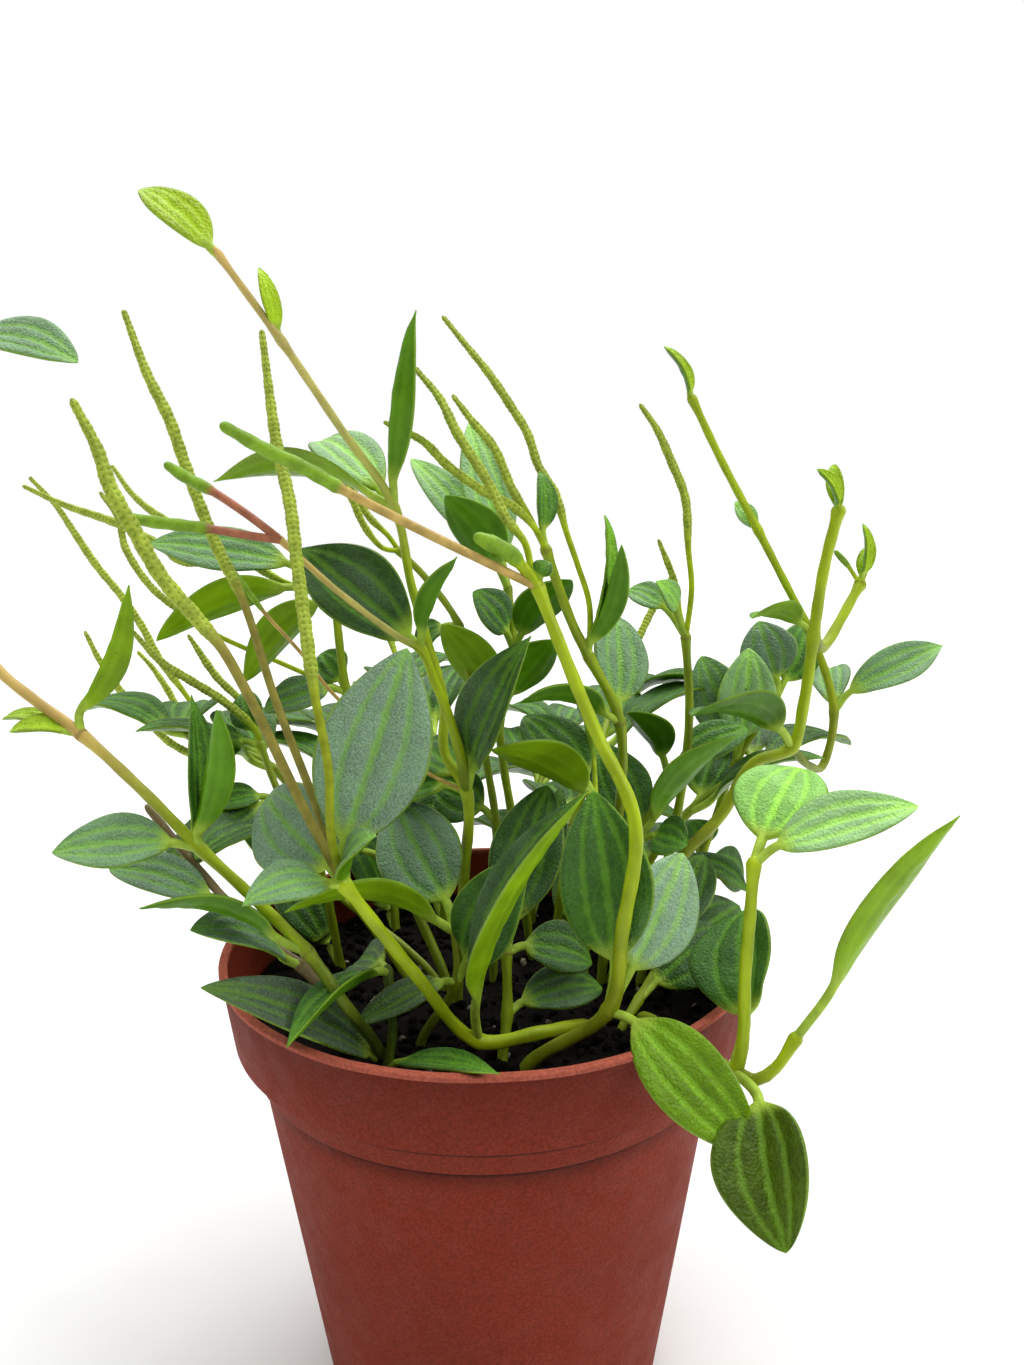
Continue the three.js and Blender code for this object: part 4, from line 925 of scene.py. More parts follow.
def add_leaf(shape, route, item, tone, blunt, chance):
    """A fleshy blade on its stalk, quilted between its long veins above and smooth below."""
    place, along, share, length = leaf_line(route, item)
    side = np.cross(along, np.array(item["face"], float))
    side /= np.linalg.norm(side, axis=1)[:, None]
    up = np.cross(side, along)

    on_blade = np.clip(share, 0, 1)
    bend = chance.uniform(-1, 1) * BEND * length
    place = place + side * (bend * np.sin(math.pi * on_blade) ** 2)[:, None]
    stalk_r = STALK_R0 + STALK_R_BY_WIDTH * item["width"]
    stalk_half = stalk_r * (1 - STALK_LOSS * smooth(share, *STALK_FADE))
    half = np.hypot(stalk_half, item["width"] / 2 * outline(on_blade, blunt))
    half[-1] = TIP_HALF
    is_blade = smooth(share, *BLADE_START)[:, None]
    fold = math.radians(item["fold"])

    v, face = leaf_columns()
    a = abs(v)
    outer_lobe = OUTER_LOBE * np.sin(math.pi * np.clip((a - VEIN) / (1 - VEIN), 0, 1))
    lobes = np.sqrt(abs(np.where(a < VEIN, np.sin(math.pi * a / VEIN), outer_lobe)))
    quilt_share = QUILT_SMALL if item["width"] < SMALL_BLADE else 1
    pillow = np.where(face > 0, 1, QUILT_BELOW) * QUILT * lobes * quilt_share
    thick = THICKNESS * (1 - EDGE_THINNING * a**2) / 2 * face
    swell = half * smooth(on_blade, *SWELL_START) * (1 - smooth(on_blade, *SWELL_END))
    phase, phase_2 = chance.uniform(*ANY_PHASE), chance.uniform(*ANY_PHASE)
    side_phase = np.where(v > 0, phase, phase_2)
    wave = EDGE_WAVE * np.sin(EDGE_WAVES * on_blade[:, None] + side_phase) * a**2 * half[:, None]
    folded = half[:, None] * math.sin(fold) * a**FOLD_POWER + pillow * swell[:, None] + wave
    lens = face * np.sqrt(np.clip(1 - v**2, 0, 1)) * stalk_r * (1 - STALK_THINNING * on_blade[:, None])
    taper = 1 - TIP_THINNING * smooth(on_blade, TIP_START, 1)[:, None]
    height = (1 - is_blade) * lens + is_blade * (folded + thick * taper)
    spread = v * half[:, None] * (1 - is_blade * (1 - math.cos(fold)))
    flat = place[:, None] + side[:, None] * spread[..., None]
    lumps = np.array([[noise.noise(Vector(p) * LUMP_PITCH) for p in row] for row in flat])
    height = height + is_blade * LUMP * lumps * (1 - a**4)
    rings = flat + up[:, None] * height[..., None]

    upper_tone, lower_tone, margin_tone = (np.array(part) for part in tone)
    tint = np.ones(rings.shape[:2] + (4,))
    tint[..., :3] = np.where(face[:, None] > 0, upper_tone, lower_tone)
    tint[:, a == 1, :3] = margin_tone
    tint[..., 3] = (face + 1) / 2
    around = (np.append(v, v[0]) + 1) / 2
    shape.skin(rings, share, around, tint, half[:, None], LEAF_SLOT)


def add_spike(shape, route, item, tone, stalk_tone, chance):
    """A flower spike on its bare stalk. A ripe one is covered with slanting rows of florets."""
    bare = item["bare"]
    is_ripe = item["kind"] == "ripe"
    full = item["radius"] * SLIM
    at, place = along_route(route, SPIKE_STEP)
    kept = (at >= bare) | (np.arange(len(at)) % STALK_SKIP == 0)
    at, place = extended(at[kept], place[kept], full, END_SHARES)
    gone = lengths(place)
    first = gone[np.argmax(at >= bare)]
    head = smooth(gone, first - HEAD_BLEND, first + (RIPE_START if is_ripe else YOUNG_START))
    from_tip = (gone[-1] - gone) / (gone[-1] - first)
    tip_share = RIPE_TIP if is_ripe else YOUNG_TIP
    taper = tip_share + (1 - tip_share) * smooth(from_tip, *TIP_REACH)
    stalk_r = full * STALK_SHARE
    blunt = blunted(len(at))
    radius = (stalk_r + (full - stalk_r) * head) * np.where(at >= bare, taper, 1) * blunt
    x = np.arange(SPIKE_SIDES) / SPIKE_SIDES
    y = (gone / FLORET_PITCH)[:, None]
    rows = max(FEWEST_ROWS, round(FULL_TURN * full / FLORET_WIDTH))
    lattice = np.sin(math.pi * (rows * x + y)) * np.sin(math.pi * (rows * x - y))
    lumps = 1 + SPIKE_LUMPS * np.sin(gone * LUMPS_PITCH + chance.uniform(*ANY_PHASE)) * head
    relief = (FLORET_RELIEF if is_ripe else YOUNG_RELIEF) * lattice * (head * blunt)[:, None]
    ring_radius = (radius * lumps)[:, None] + relief
    ring_radius[-1] = SPIKE_TIP_R
    tint = np.ones((len(at), SPIKE_SIDES, 4))
    mix = head[:, None, None]
    tint[..., :3] = np.array(stalk_tone) * (1 - mix) + np.array(tone) * mix
    tint[..., 3] = head[:, None]
    shape.skin(round_rings(place, ring_radius), gone, even_around(SPIKE_SIDES), tint, half=rows)


class Look:
    """A material with one principled shader, and short ways to add the nodes that steer it."""

    def __init__(self, name, roughness, **values):
        self.material = bpy.data.materials.new(name)
        self.material.use_nodes = True
        self.tree = self.material.node_tree
        self.shader = self.tree.nodes["Principled BSDF"]
        self.shader.inputs["Roughness"].default_value = roughness
        for key, value in values.items():
            self.shader.inputs[key.replace("_", " ")].default_value = value
        self.place = self.node("ShaderNodeTexCoord").outputs["Object"]

    def node(self, kind, inputs=(), **settings):
        made = self.tree.nodes.new(kind)
        for key, value in settings.items():
            setattr(made, key, value)
        for key, value in dict(inputs).items():
            if isinstance(value, bpy.types.NodeSocket):
                self.tree.links.new(value, made.inputs[key])
            else:
                made.inputs[key].default_value = value
        return made

    def math(self, operation, a, b=0.0):
        return self.node("ShaderNodeMath", {0: a, 1: b}, operation=operation).outputs[0]

    def step(self, value, low, high, to_low=0.0, to_high=1.0):
        """to_low below low and to_high above high, with an even curve between them."""
        inputs = {0: value, 1: low, 2: high, 3: to_low, 4: to_high}
        return self.node("ShaderNodeMapRange", inputs, interpolation_type="SMOOTHSTEP").outputs[0]

    def mix(self, share, a, b, blend="MIX"):
        made = self.node("ShaderNodeMix", {0: share, 6: a, 7: b}, data_type="RGBA", blend_type=blend)
        return made.outputs[2]

    def times(self, a, b):
        return self.math("MULTIPLY", a, b)

    def most(self, a, b):
        return self.math("MAXIMUM", a, b)

    def mottled(self, size, low, high, detail=3.0):
        """A number that wanders from low to high over patches of a size in millimetres."""
        return self.step(self.noise(size, detail), *NOISE_RANGE, low, high)

    def shade(self, colour, value):
        """A colour made lighter or darker by a number."""
        return self.node("ShaderNodeVectorMath", {0: colour, 3: value}, operation="SCALE").outputs[0]

    def noise(self, size, detail=3.0):
        """An even noise of about 0 to 1, with features of a size in millimetres."""
        inputs = {"Vector": self.place, "Scale": 1 / (size * MM), "Detail": detail}
        return self.node("ShaderNodeTexNoise", inputs).outputs[0]

    def cells(self, size, feature="F1"):
        inputs = {"Vector": self.place, "Scale": 1 / (size * MM)}
        return self.node("ShaderNodeTexVoronoi", inputs, feature=feature).outputs["Distance"]

    def attribute(self, name, output):
        return self.node("ShaderNodeAttribute", attribute_name=name).outputs[output]

    def grid(self):
        """The two numbers of the UV map."""
        where = self.node("ShaderNodeTexCoord").outputs["UV"]
        made = self.node("ShaderNodeSeparateXYZ", {0: where})
        return made.outputs[0], made.outputs[1]

    def colour(self, value):
        self.tree.links.new(value, self.shader.inputs["Base Color"])

    def roughness(self, value):
        self.tree.links.new(value, self.shader.inputs["Roughness"])

    def bump(self, height, distance, strength=1.0, below=None):
        """Relief of a depth in millimetres, over an earlier one."""
        inputs = {"Height": height, "Distance": distance * MM, "Strength": strength}
        if below is not None:
            inputs["Normal"] = below
        made = self.node("ShaderNodeBump", inputs).outputs[0]
        self.tree.links.new(made, self.shader.inputs["Normal"])
        return made


def rgb(colour):
    return (*colour, 1.0)


def leaf_look():
    """Pale veins and a net between them, a fine grain, and a painted sheen on the bluish tones."""
    look = Look("leaf", 0.4, Specular_IOR_Level=0.2)
    tint, upper = look.attribute("Tint", "Color"), look.attribute("Tint", "Alpha")
    half = look.attribute("Half", "Fac")
    u, v = look.grid()
    across = look.math("ABSOLUTE", look.math("SUBTRACT", look.times(v, 2.0), 1.0))
    wander = look.step(look.noise(1.6), 0.25, 0.75, -VEIN_WANDER, VEIN_WANDER)

    def vein(at, width, strength):
        away = look.times(look.math("ABSOLUTE", look.math("SUBTRACT", across, at)), half)
        return look.step(look.math("ADD", away, wander), 0.0, width, strength, 0.0)

    veins = look.most(vein(0.0, MIDRIB_WIDTH, 1.0), vein(VEIN, SIDE_VEIN_WIDTH, 0.75))
    veins = look.most(veins, vein(OUTER_VEIN, OUTER_VEIN_WIDTH, 0.15))
    veins = look.most(veins, look.step(look.cells(NET_SIZE, "DISTANCE_TO_EDGE"), 0.0, 0.12, 0.14, 0.0))
    veins = look.times(veins, look.step(upper, 0.0, 1.0, 0.3, 1.0))
    body = look.shade(tint, look.mottled(7, 0.82, 1.2))
    fine = look.step(upper, 0.4, 1.0, 0.03, 0.13)
    grain = look.noise(GRAIN_SIZE, 1.0)
    dim, bright = look.math("SUBTRACT", 1.0, fine), look.math("ADD", 1.0, fine)
    body = look.shade(body, look.step(grain, *NOISE_RANGE, dim, bright))

    # The sheen is painted into the colour: pale flecks on the bluish tones, and in patches on the others.
    parts = look.node("ShaderNodeSeparateColor", {0: tint})
    blue = look.math("DIVIDE", parts.outputs["Blue"], parts.outputs["Green"])
    most = look.times(look.step(blue, 0.02, 0.07), look.step(upper, 0.5, 1.0, 0.0, PATCH_SHINE))
    patches = look.step(look.noise(14, 1.0), 0.35, 0.7, 0.0, most)
    sheen = look.most(look.step(blue, 0.15, 0.5), patches)
    shine = look.times(sheen, look.step(grain, 0.32, 0.7, 0.3 * SHINE, SHINE))
    body = look.mix(shine, body, rgb(SHINE_TONE))

    pale = look.node("ShaderNodeVectorMath", {0: tint, 1: VEIN_GAIN, 2: VEIN_ADD}, operation="MULTIPLY_ADD")
    coloured = look.mix(look.times(veins, VEIN_SHARE), body, pale.outputs[0])
    stalk = look.step(u, 0.0, 0.15, 1.0, 0.0)
    coloured = look.mix(stalk, coloured, look.shade(STALK_TONE, look.mottled(2.5, 0.8, 1.15)))
    speck = look.step(look.noise(SPECK_SIZE, 1.0), 0.77, 0.82, 0.0, 0.7)
    look.colour(look.mix(speck, coloured, rgb(NICK_TONE)))
    look.roughness(look.mottled(3.0, 0.33, 0.46))

    pebbles = look.math("SUBTRACT", 1.0, look.cells(PEBBLE, "SMOOTH_F1"))
    rough = look.times(pebbles, look.step(upper, 0.4, 1.0, 0.15, 1.0))
    rough = look.times(rough, look.step(stalk, 0.3, 1.0, 1.0, 0.2))
    below = look.bump(rough, 0.26)
    below = look.bump(look.times(veins, -1.0), 0.1, 1.0, below)
    look.bump(look.noise(1.5, 2.0), 0.15, 0.7, below)
    return look.material


def stem_look():
    """Streaks along the stem, pale dots, and brown scars at the knots."""
    look = Look("stem", 0.42, Specular_IOR_Level=0.25)
    tint, scar = look.attribute("Tint", "Color"), look.attribute("Tint", "Alpha")
    along, around = look.grid()
    stretched = look.node("ShaderNodeCombineXYZ", {0: look.times(along, 0.1), 1: look.times(around, 3.0)})
    inputs = {"Vector": stretched.outputs[0], "Scale": 1.6, "Detail": 2.0}
    streak = look.node("ShaderNodeTexNoise", inputs).outputs[0]
    body = look.shade(tint, look.step(streak, *NOISE_RANGE, 0.88, 1.12))
    body = look.shade(body, look.mottled(8, 0.82, 1.16))
    dots = look.step(look.cells(DOT_SIZE), 0.1, 0.22, 0.4, 0.0)
    body = look.mix(dots, body, rgb(DOT_TONE))
    patch = look.step(look.math("ADD", scar, look.times(look.noise(SPECK_SIZE), 0.9)), 1.0, 1.4)
    look.colour(look.mix(look.times(patch, 0.6), body, rgb(SCAR_TONE)))
    look.roughness(look.step(patch, 0.0, 1.0, 0.4, 0.8))
    below = look.bump(dots, 0.05)
    look.bump(look.times(look.noise(0.5), look.step(patch, 0.0, 1.0, 0.1, 1.0)), 0.2, 1.0, below)
    return look.material


def spike_look(name, dotted, roughness):
    """The florets' dark pits follow the same slanting rows as the relief."""
    look = Look(name, roughness, Specular_IOR_Level=0.2)
    tint, head = look.attribute("Tint", "Color"), look.attribute("Tint", "Alpha")
    along, around = look.grid()
    y = look.math("DIVIDE", along, FLORET_PITCH)
    wander = look.step(look.noise(0.9, 2.0), 0.2, 0.8, -0.25, 0.25)
    x = look.math("ADD", look.times(around, look.attribute("Half", "Fac")), wander)
    one, two = (look.math("SINE", look.times(look.math(way, x, y), math.pi)) for way in ("ADD", "SUBTRACT"))
    lattice = look.times(one, two)
    body = look.shade(tint, look.mottled(2.2, 0.8, 1.2))
    pit = look.times(look.step(lattice, -0.95, -0.35, 1.0, 0.0), head)
    fleck = look.times(look.step(look.cells(0.6), 0.1, 0.3, 0.6, 0.0), head)
    look.colour(look.mix(look.times(look.most(pit, fleck), dotted), body, rgb(FLORET_TONE)))
    below = look.bump(look.times(look.times(lattice, head), dotted), 0.12)
    look.bump(look.noise(0.4), 0.08, 1.0, below)
    return look.material


def pot_look():
    """Matt plastic with faint mottling and a little dust."""
    look = Look("pot plastic", 0.5, Specular_IOR_Level=0.12)
    body = look.shade(look.attribute("Tint", "Color"), look.mottled(30, 0.95, 1.06, 2.0))
    body = look.shade(body, look.mottled(0.5, 0.8, 1.2, 2.0))
    dust = look.step(look.noise(2.2, 6.0), 0.64, 0.8, 0.0, 0.1)
    look.colour(look.mix(dust, body, rgb(DUST_TONE)))
    look.roughness(look.mottled(5, 0.6, 0.75, 4.0))
    look.bump(look.noise(0.6, 2.0), 0.18)
    return look.material


def soil_look():
    look = Look("soil", 0.95, Specular_IOR_Level=0.1)
    look.colour(look.shade(look.attribute("Tint", "Color"), look.mottled(0.9, 0.5, 1.6, 4.0)))
    look.bump(look.noise(0.6, 5.0), 0.5)
    return look.material


# A stem's colours at shares of its length. The stems that aren't here have the usual ones.
STEM_TONES = {
    "front_left": [(0, LOW_GREEN), (0.25, OLIVE), (0.5, YELLOW_GREEN)],
    "front_right": [(0, LOW_GREEN), (0.25, OLIVE), (0.55, YELLOW_GREEN)],
    "centre": [(0, LOW_GREEN), (0.3, YELLOW_GREEN), (0.6, YELLOW_GREEN), (0.75, STRAW), (1, TAN)],
    "left_long": [(0, DARK_STEM), (0.12, DARK_STEM), (0.3, YELLOW_GREEN), (0.4, YELLOW_GREEN), (0.55, TAN)],
    "left_woody": [(0, BROWN)],
    "right_thick": [(0, LOW_GREEN), (0.3, OLIVE), (0.6, YELLOW_GREEN)],
    "right_trail": [(0, LOW_GREEN), (0.4, OLIVE), (0.7, YELLOW_GREEN)],
    "front_low": [(0, DARK_STEM)],
    "front_mid": [(0, DARK_STEM), (1, OLIVE)],
}
# How thin a slender stem is at its end, as a share of its girth at the soil.
END_GIRTHS = {"centre": 0.5, "front_right": 0.75, "right_thick": 0.8}
# Leaves whose upper side has a plain colour in the photograph, by stem and number.
# SHADED is painted shade, and the bluish and sheen tones hold a painted sheen.
LEAF_TONES = {
    "front_left": {0: DEEP, 1: SHEEN, 2: LIGHT, 3: LIGHT, 4: BLUISH_SHEEN},
    "centre": {0: DEEP, 3: FRESH, 4: PALE, 5: FRESH, 6: LIME, 7: LIME, 8: DEEP, 9: FRESH},
    "front_right": {0: MID, 1: LIGHT_SHEEN, 2: APPLE},
    "right_trail": {0: MID, 1: GLOSSY, 2: MINT, 3: PALE, 4: LIME},
    "right_thick": {
        0: MID, 1: LIME, 2: LIME, 3: LIME, 4: LIME, 5: LIGHT, 6: LIGHT, 7: FRESH, 8: PALE, 9: LIME,
    },
    "right_spike": {0: LIGHT, 1: MINT},
    "right_back": {0: PALE, 1: LIGHT, 2: BLUISH_SHEEN, 3: MID},
    "centre_back_a": {4: PALE, 5: PALE, 6: PALE},
    "centre_right": {0: FRESH, 1: LIGHT, 3: FRESH},
    "left_long": {0: SHADED, 1: MID, 4: LIGHT, 5: FRESH, 6: LIME, 7: LIME, 8: LIGHT, 9: LIGHT},
    "left_woody": {0: BLUISH_SHEEN, 1: BLUISH_SHEEN},
    "left_mid": {5: LIGHT},
    "front_low": {0: MID, 1: MID, 2: SHADED},
    "front_mid": {0: SHADED, 2: FRESH, 3: BLUISH_SHEEN},
}
# Leaves that run out to a long point.
POINTED = {
    "front_left": (0, 3), "centre": (0, 3, 5, 8, 9), "right_trail": (4,), "left_long": (1, 2, 5),
    "right_thick": (5,), "front_low": (0, 1),
}
# Leaves with a bright lower side. The others are darker below, which is painted shade.
BRIGHT_BELOW = {
    "front_left": (0,), "right_trail": (4,), "left_long": (5,), "centre": (5, 7), "front_mid": (2,),
    "centre_right_b": (0,), "left_mid": (3, 4), "right_thick": (7,), "centre_back_a": (0,),
}
# Spikes whose bare stalk isn't the usual yellow-green.
SPIKE_STALKS = {
    "front_left_1": STALK_OLIVE, "front_left_2": STALK_OLIVE, "front_left_3": OLIVE, "centre_1": TAN,
    "centre_2": PINK, "centre_3": PINK, "front_right_1": TAN,
}


def blend(a, b, share):
    return tuple(p + (q - p) * share for p, q in zip(a, b))


def leaf_tone(name, number, chance):
    """Upper side, lower side and margin of one leaf, each a little off its plain colour."""
    share, lower_share, light = chance.uniform(0, 1), chance.uniform(0, 0.8), chance.uniform(0.88, 1.12)
    upper = LEAF_TONES.get(name, {}).get(number, blend(DEEP, MID, share))
    if number in BRIGHT_BELOW.get(name, ()):
        lower = UNDERSIDE
    else:
        # A darker lower side: painted shade, by a random amount.
        lower = blend(SHADED_UNDERSIDE, FRESH, lower_share)
    return [tuple(c * light for c in colour) for colour in (upper, lower, MARGIN)]


leaf_material = leaf_look()
stem_material = stem_look()
ripe_material = spike_look("ripe spike", 0.75, 0.6)
young_material = spike_look("young spike", 0.2, 0.4)

chance = random.Random(LOOKS_SEED)
usual_tones = [(0, LOW_GREEN), (0.5, blend(LOW_GREEN, YELLOW_GREEN, 0.5))]
pieces = []
for item in stems:
    name = item["name"]
    shape = Shape()
    tones = STEM_TONES.get(name, usual_tones)
    end_share = END_GIRTHS.get(name, STEM_TAPER)
    number = spike_number = 0
    for limb in limbs_of(item):
        add_stem(shape, limb, tones, end_share, chance)
        for one in limb["leaves"]:
            blunt = chance.uniform(*(POINTED_DRAW if number in POINTED.get(name, ()) else BLUNT_DRAW))
            add_leaf(shape, limb["route"], one, leaf_tone(name, number, chance), blunt, chance)
            number += 1
        for one in limb["spikes"]:
            spike_number += 1
            title = f"{name}_{spike_number}"
            spike_shape = Shape()
            spike_route = [limb["route"][one["knot"]]] + one["route"]
            is_ripe = one["kind"] == "ripe"
            stalk_tone = SPIKE_STALKS.get(title, YELLOW_GREEN)
            add_spike(spike_shape, spike_route, one, RIPE if is_ripe else YOUNG, stalk_tone, chance)
            flower = spike_shape.build("flower_" + title, [ripe_material if is_ripe else young_material])
            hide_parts("spike_" + title)
            pieces.append(flower)
    leafy = shape.build("leafy_" + name, [leaf_material, stem_material])
    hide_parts("stem_" + name)
    pieces.append(leafy)


def rounded(corners, radius, count=4):
    """An open run of corners with each inner one replaced by a small curve."""
    points = [np.array(p, float) for p in corners]
    made = [points[0]]
    for before, corner, after in zip(points, points[1:], points[2:]):
        sides = [np.linalg.norm(end - corner) / SIDE_PARTS for end in (before, after)]
        reach = min(radius, *sides)
        a = corner + unit(before - corner) * reach
        b = corner + unit(after - corner) * reach
        for t in np.linspace(0, 1, count):
            made.append((1 - t) ** 2 * a + 2 * t * (1 - t) * corner + t**2 * b)
    return np.array(made + [points[-1]])


def turned(profile, sides):
    """Rings round the pot's axis for a profile of radius and height."""
    angle = angles(sides)
    r, z = profile[:, 0][:, None], profile[:, 1][:, None]
    return np.stack([r * np.cos(angle), r * np.sin(angle), z + 0 * angle], axis=-1)


def below(r, z, slope):
    """Corners down a wall to one at (r, z), so that its colour can change there."""
    return [(r - slope * down, z - down) for down in SHADOW_DEPTHS]


def pot_profile():
    """Radius and height down the middle of the base, up the outside, over the lip and down the inside."""
    corners = [
        (CENTRE_R, 0), (BASE_R, 0), (BASE_R + BASE_ROUNDING, BASE_ROUNDING),
        *below(BODY_TOP_R, LOWER_BAND_Z, BODY_SLOPE), (LOWER_BAND_R, LOWER_BAND_Z),
        *below(LOWER_BAND_TOP_R, RIM_BAND_Z, BAND_SLOPE), (RIM_BAND_R, RIM_BAND_Z),
        (RIM_R - LIP_STEP, POT_H - LIP_DEPTH), (RIM_R, POT_H - LIP_DEPTH), (RIM_R, POT_H),
        (RIM_R - LIP_WIDTH, POT_H), (RIM_R - LIP_WIDTH, POT_H - LIP_DEPTH),
        (RIM_BAND_R - WALL, RIM_BAND_Z + INNER_RISE), (LOWER_BAND_TOP_R - WALL, RIM_BAND_Z - RIM_BAND_DROP),
        (LOWER_BAND_R - WALL + INNER_STEP, LOWER_BAND_Z + INNER_RISE),
        (BODY_TOP_R - WALL, LOWER_BAND_Z - LOWER_BAND_DROP), (BASE_R, FLOOR), (CENTRE_R, FLOOR),
    ]
    return rounded(corners, EDGE_ROUNDING)


def wear_lip(rings, heights):
    """Presses the lip a little out of true, with nicks in it."""
    angle = angles(POT_SIDES)
    near_lip = smooth(heights, POT_H - LIP_REACH, POT_H)[:, None]
    nicks = np.zeros(POT_SIDES)
    for _ in range(LIP_NICKS):
        away = np.angle(np.exp(1j * (angle - chance.uniform(0, FULL_TURN))))
        nicks += chance.uniform(*NICK_DEPTH) * hump(away, chance.uniform(*NICK_WIDTH))
    waves = sum(height * np.sin(count * angle + phase) for height, count, phase in LIP_WAVES)
    inward = near_lip * (LIP_INSET + waves + nicks)
    size = np.hypot(rings[..., 0], rings[..., 1])
    rings[..., :2] *= (1 - inward / size)[..., None]
    rings[..., 2] -= near_lip * (LIP_SINK + LIP_SWAY * np.sin(2 * angle) + NICK_SINK * nicks)


def pot_tint(heights):
    """A paler lip, which is a painted highlight, and a painted shadow below each step outside."""
    tint = np.ones((len(heights), POT_SIDES, 4))
    lip_z = POT_H - LIP_DEPTH
    # The lip is painted paler, as a highlight.
    lip_highlight = smooth(heights, lip_z - LIP_BLEND, lip_z + 2 * LIP_BLEND)[:, None, None]
    tint[..., :3] = np.array(POT_TONE) * (1 - lip_highlight) + np.array(LIP_HIGHLIGHT_TONE) * lip_highlight
    is_outside = np.arange(len(heights)) < np.argmax(heights)
    for step_z, start, end, depth in STEP_SHADOWS:
        down = step_z - heights
        dark = depth * (1 - smooth(down, start, end)) * (down >= -NEAR) * is_outside
        tint[..., :3] *= (1 - dark)[:, None, None]
    return tint


def make_pot():
    profile = pot_profile()
    heights = profile[:, 1]
    rings = turned(profile, POT_SIDES)
    wear_lip(rings, heights)
    shape = Shape()
    shape.skin(rings, lengths(profile), even_around(POT_SIDES), pot_tint(heights))
    return shape.build("nursery_pot", [pot_look()])


def cut_drain_holes(pot):
    for i in range(DRAIN_HOLES):
        x, y, _ = polar(DRAIN_CIRCLE_R, 360 * i / DRAIN_HOLES, 0)
        bpy.ops.mesh.primitive_cylinder_add(
            vertices=DRAIN_SIDES, radius=DRAIN_HOLE_R * MM, depth=4 * FLOOR * MM, location=(x * MM, y * MM, 0)
        )
        hole = bpy.context.object
        cut = pot.modifiers.new("hole", "BOOLEAN")
        cut.object = hole
        cut.solver = "EXACT"
        whole = bpy.data.meshes.new_from_object(pot.evaluated_get(bpy.context.evaluated_depsgraph_get()))
        pot.modifiers.clear()
        pot.data = whole
        bpy.data.objects.remove(hole)


def soil_height(x, y):
    """The soil's wavy top with lumps on it."""
    (pitch_x, pitch_y), (phase_x, phase_y) = SOIL_PITCHES, SOIL_PHASES
    low = SOIL_Z + SOIL_WAVE * math.sin(pitch_x * x + phase_x) * math.cos(pitch_y * y + phase_y)
    return low + sum(tall * noise.noise(Vector((x, y, layer)) * pitch) for tall, pitch, layer in SOIL_LUMPS)


def add_crumb(shape, where, size, tone):
    """A rough little lump."""
    rows, sides = CRUMB_ROWS, CRUMB_SIDES
    down = np.linspace(CRUMB_POLE, math.pi - CRUMB_POLE, rows)
    ball = turned(np.stack([np.sin(down), np.cos(down)], axis=-1), sides)
    rough = np.array([[chance.uniform(*CRUMB_ROUGHNESS) for _ in range(sides)] for _ in range(rows)])
    amount = chance.uniform(*ANY_PHASE)
    axis = Vector((chance.uniform(-1, 1), chance.uniform(-1, 1), 1)).normalized()
    stretch = np.array([1, chance.uniform(*CRUMB_WIDTH), chance.uniform(*CRUMB_HEIGHT)])
    turn = np.array(Matrix.Rotation(amount, 3, axis))
    points = (ball * rough[..., None] * size * stretch) @ turn.T + np.array(where)
    shape.skin(points, np.arange(rows), even_around(sides), np.array((*tone, 1)))


def make_soil():
    corners = [
        (BASE_R - SOIL_GAP, FLOOR + SOIL_GAP),
        (BODY_TOP_R - WALL - SOIL_GAP, LOWER_BAND_Z - LOWER_BAND_DROP),
        (LOWER_BAND_TOP_R - WALL - SOIL_GAP, RIM_BAND_Z - RIM_BAND_DROP),
        (RIM_BAND_R - WALL - SOIL_GAP, RIM_BAND_Z + INNER_RISE),
    ]
    shares = np.linspace(0, SOIL_MIDDLE, SOIL_RINGS)
    tops = [(SOIL_EDGE_R * math.sqrt(1 - share), SOIL_Z) for share in shares]
    rings = turned(np.array(corners + tops), POT_SIDES)
    for ring in rings[len(corners) :]:
        for point in ring:
            point[2] = soil_height(point[0], point[1])
    shape = Shape()
    tint = np.ones((len(rings), POT_SIDES, 4))
    tint[..., :3] = SOIL_TONE
    shape.skin(rings, np.arange(len(rings)), even_around(POT_SIDES), tint)
    for count, sizes, tone, spread in GRAINS:
        for _ in range(count):
            r = (SOIL_EDGE_R - CRUMB_EDGE) * math.sqrt(chance.random())
            x, y, _ = polar(r, chance.uniform(0, 360), 0)
            size = chance.uniform(*sizes)
            light = chance.uniform(1 - spread, 1 + spread)
            where = (x, y, soil_height(x, y) + size * CRUMB_RISE)
            add_crumb(shape, where, size, [c * light for c in tone])
    return shape.build("potting_soil", [soil_look()])


pot = make_pot()
cut_drain_holes(pot)
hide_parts("pot")
soil = make_soil()
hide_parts("soil")
pieces += [pot, soil]
for piece in pieces:
    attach(piece, "root")

# The set: a plain white table and backdrop, and soft light.
bpy.ops.mesh.primitive_plane_add(size=FLOOR_SIZE * MM, location=(0, 0, 0))
table = bpy.context.object
table.name = "table"
table_look = Look("table", 0.6)
table_look.colour(table_look.shade(TABLE_TONE, table_look.mottled(60, 0.97, 1.03)))
table.data.materials.append(table_look.material)


def add_light(name, way, width, strength):
    lamp = bpy.data.lights.new(name, "SUN")
    lamp.angle = math.radians(width)
    lamp.energy = strength
    holder = bpy.data.objects.new(name, lamp)
    holder.rotation_euler = Vector(way).to_track_quat("Z", "Y").to_euler()
    bpy.context.scene.collection.objects.link(holder)
    return holder


lights = [add_light(*values) for values in LIGHTS]


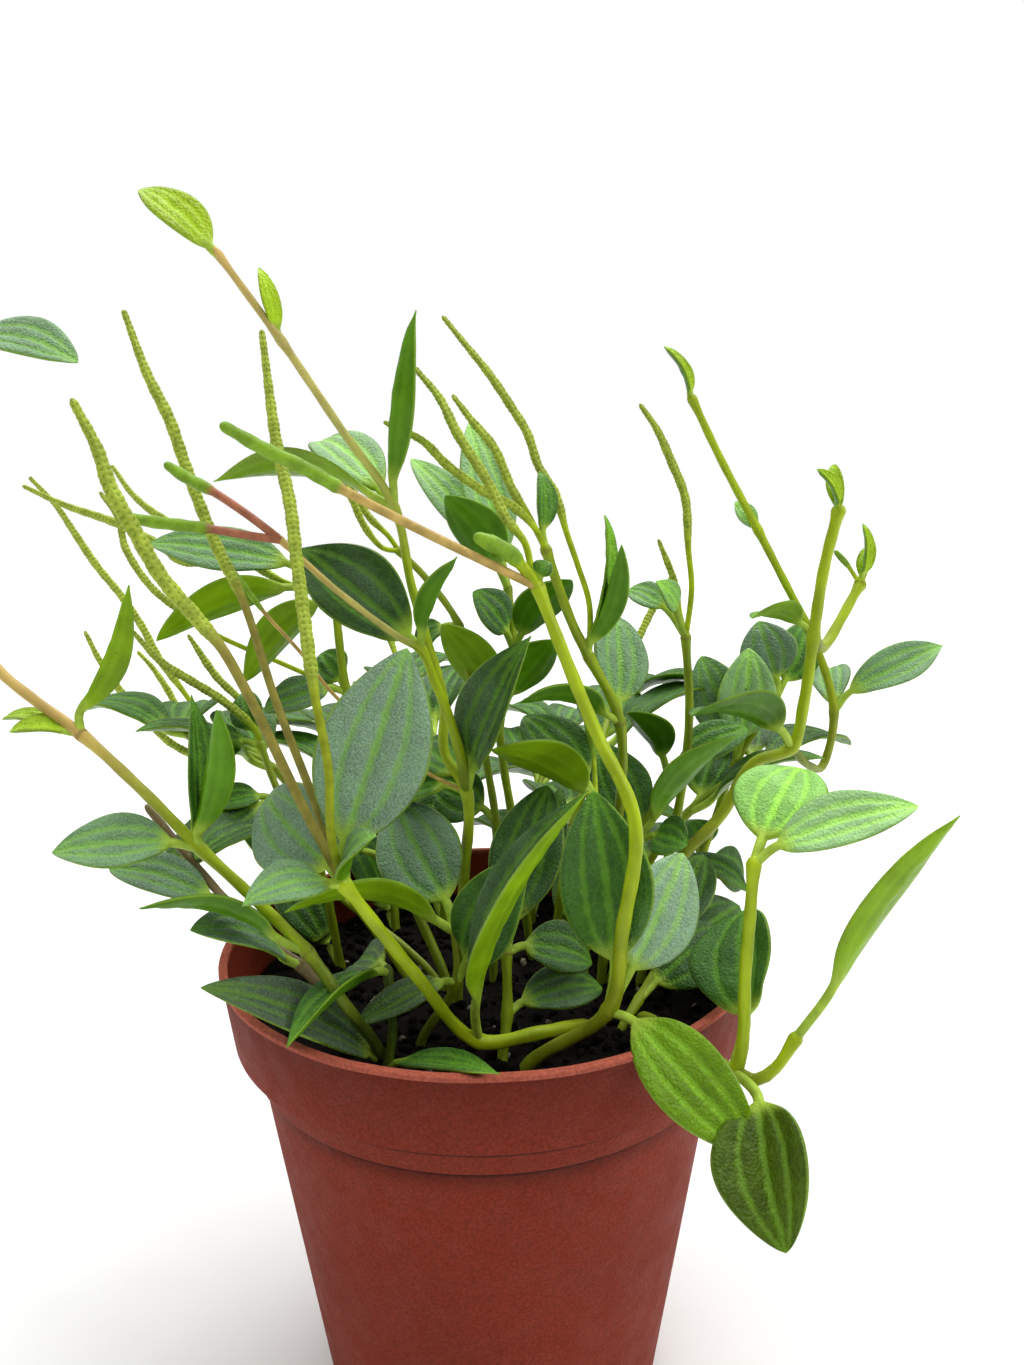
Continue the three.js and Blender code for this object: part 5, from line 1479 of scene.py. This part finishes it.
def make_world():
    """A white backdrop, and a softer light that is brighter from above and dimmer from the front."""
    world = bpy.data.worlds.new("studio")
    world.use_nodes = True
    nodes, links = world.node_tree.nodes, world.node_tree.links
    way = nodes.new("ShaderNodeSeparateXYZ")
    links.new(nodes.new("ShaderNodeTexCoord").outputs["Generated"], way.inputs[0])

    def fade(value, low, high, to_low, to_high):
        made = nodes.new("ShaderNodeMapRange")
        made.interpolation_type = "SMOOTHSTEP"
        links.new(value, made.inputs["Value"])
        limits = {"From Min": low, "From Max": high, "To Min": to_low, "To Max": to_high}
        for key, number in limits.items():
            made.inputs[key].default_value = number
        return made.outputs[0]

    sky = nodes.new("ShaderNodeMath")
    sky.operation = "MULTIPLY"
    links.new(fade(way.outputs["Z"], *SKY_RISE, SKY_LOW, SKY_TOP), sky.inputs[0])
    links.new(fade(way.outputs["Y"], *FRONT_RISE, FRONT_SHARE, 1), sky.inputs[1])
    choice = nodes.new("ShaderNodeMix")
    links.new(nodes.new("ShaderNodeLightPath").outputs["Is Camera Ray"], choice.inputs["Factor"])
    links.new(sky.outputs[0], choice.inputs["A"])
    choice.inputs["B"].default_value = BACKDROP
    links.new(choice.outputs[0], nodes["Background"].inputs["Strength"])
    nodes["Background"].inputs["Color"].default_value = (1, 1, 1, 1)
    return world


scene = bpy.context.scene
scene.world = make_world()
scene.view_settings.view_transform = "Standard"

lens = bpy.data.cameras.new("camera")
lens.sensor_width = SENSOR
lens.lens = FOCAL_LENGTH
lens.clip_start = 10 * MM
camera = bpy.data.objects.new("camera", lens)
scene.collection.objects.link(camera)
scene.camera = camera
dip, roll = math.radians(CAMERA_DIP), math.radians(CAMERA_ROLL)
level, rise = Vector((1, 0, 0)), Vector((0, math.sin(dip), math.cos(dip)))
right = level * math.cos(roll) + rise * math.sin(roll)
above = rise * math.cos(roll) - level * math.sin(roll)
back = right.cross(above)
turn = Matrix((right, above, back)).transposed()
camera.matrix_world = Matrix.Translation(Vector(CAMERA_PLACE) * MM) @ turn.to_4x4()
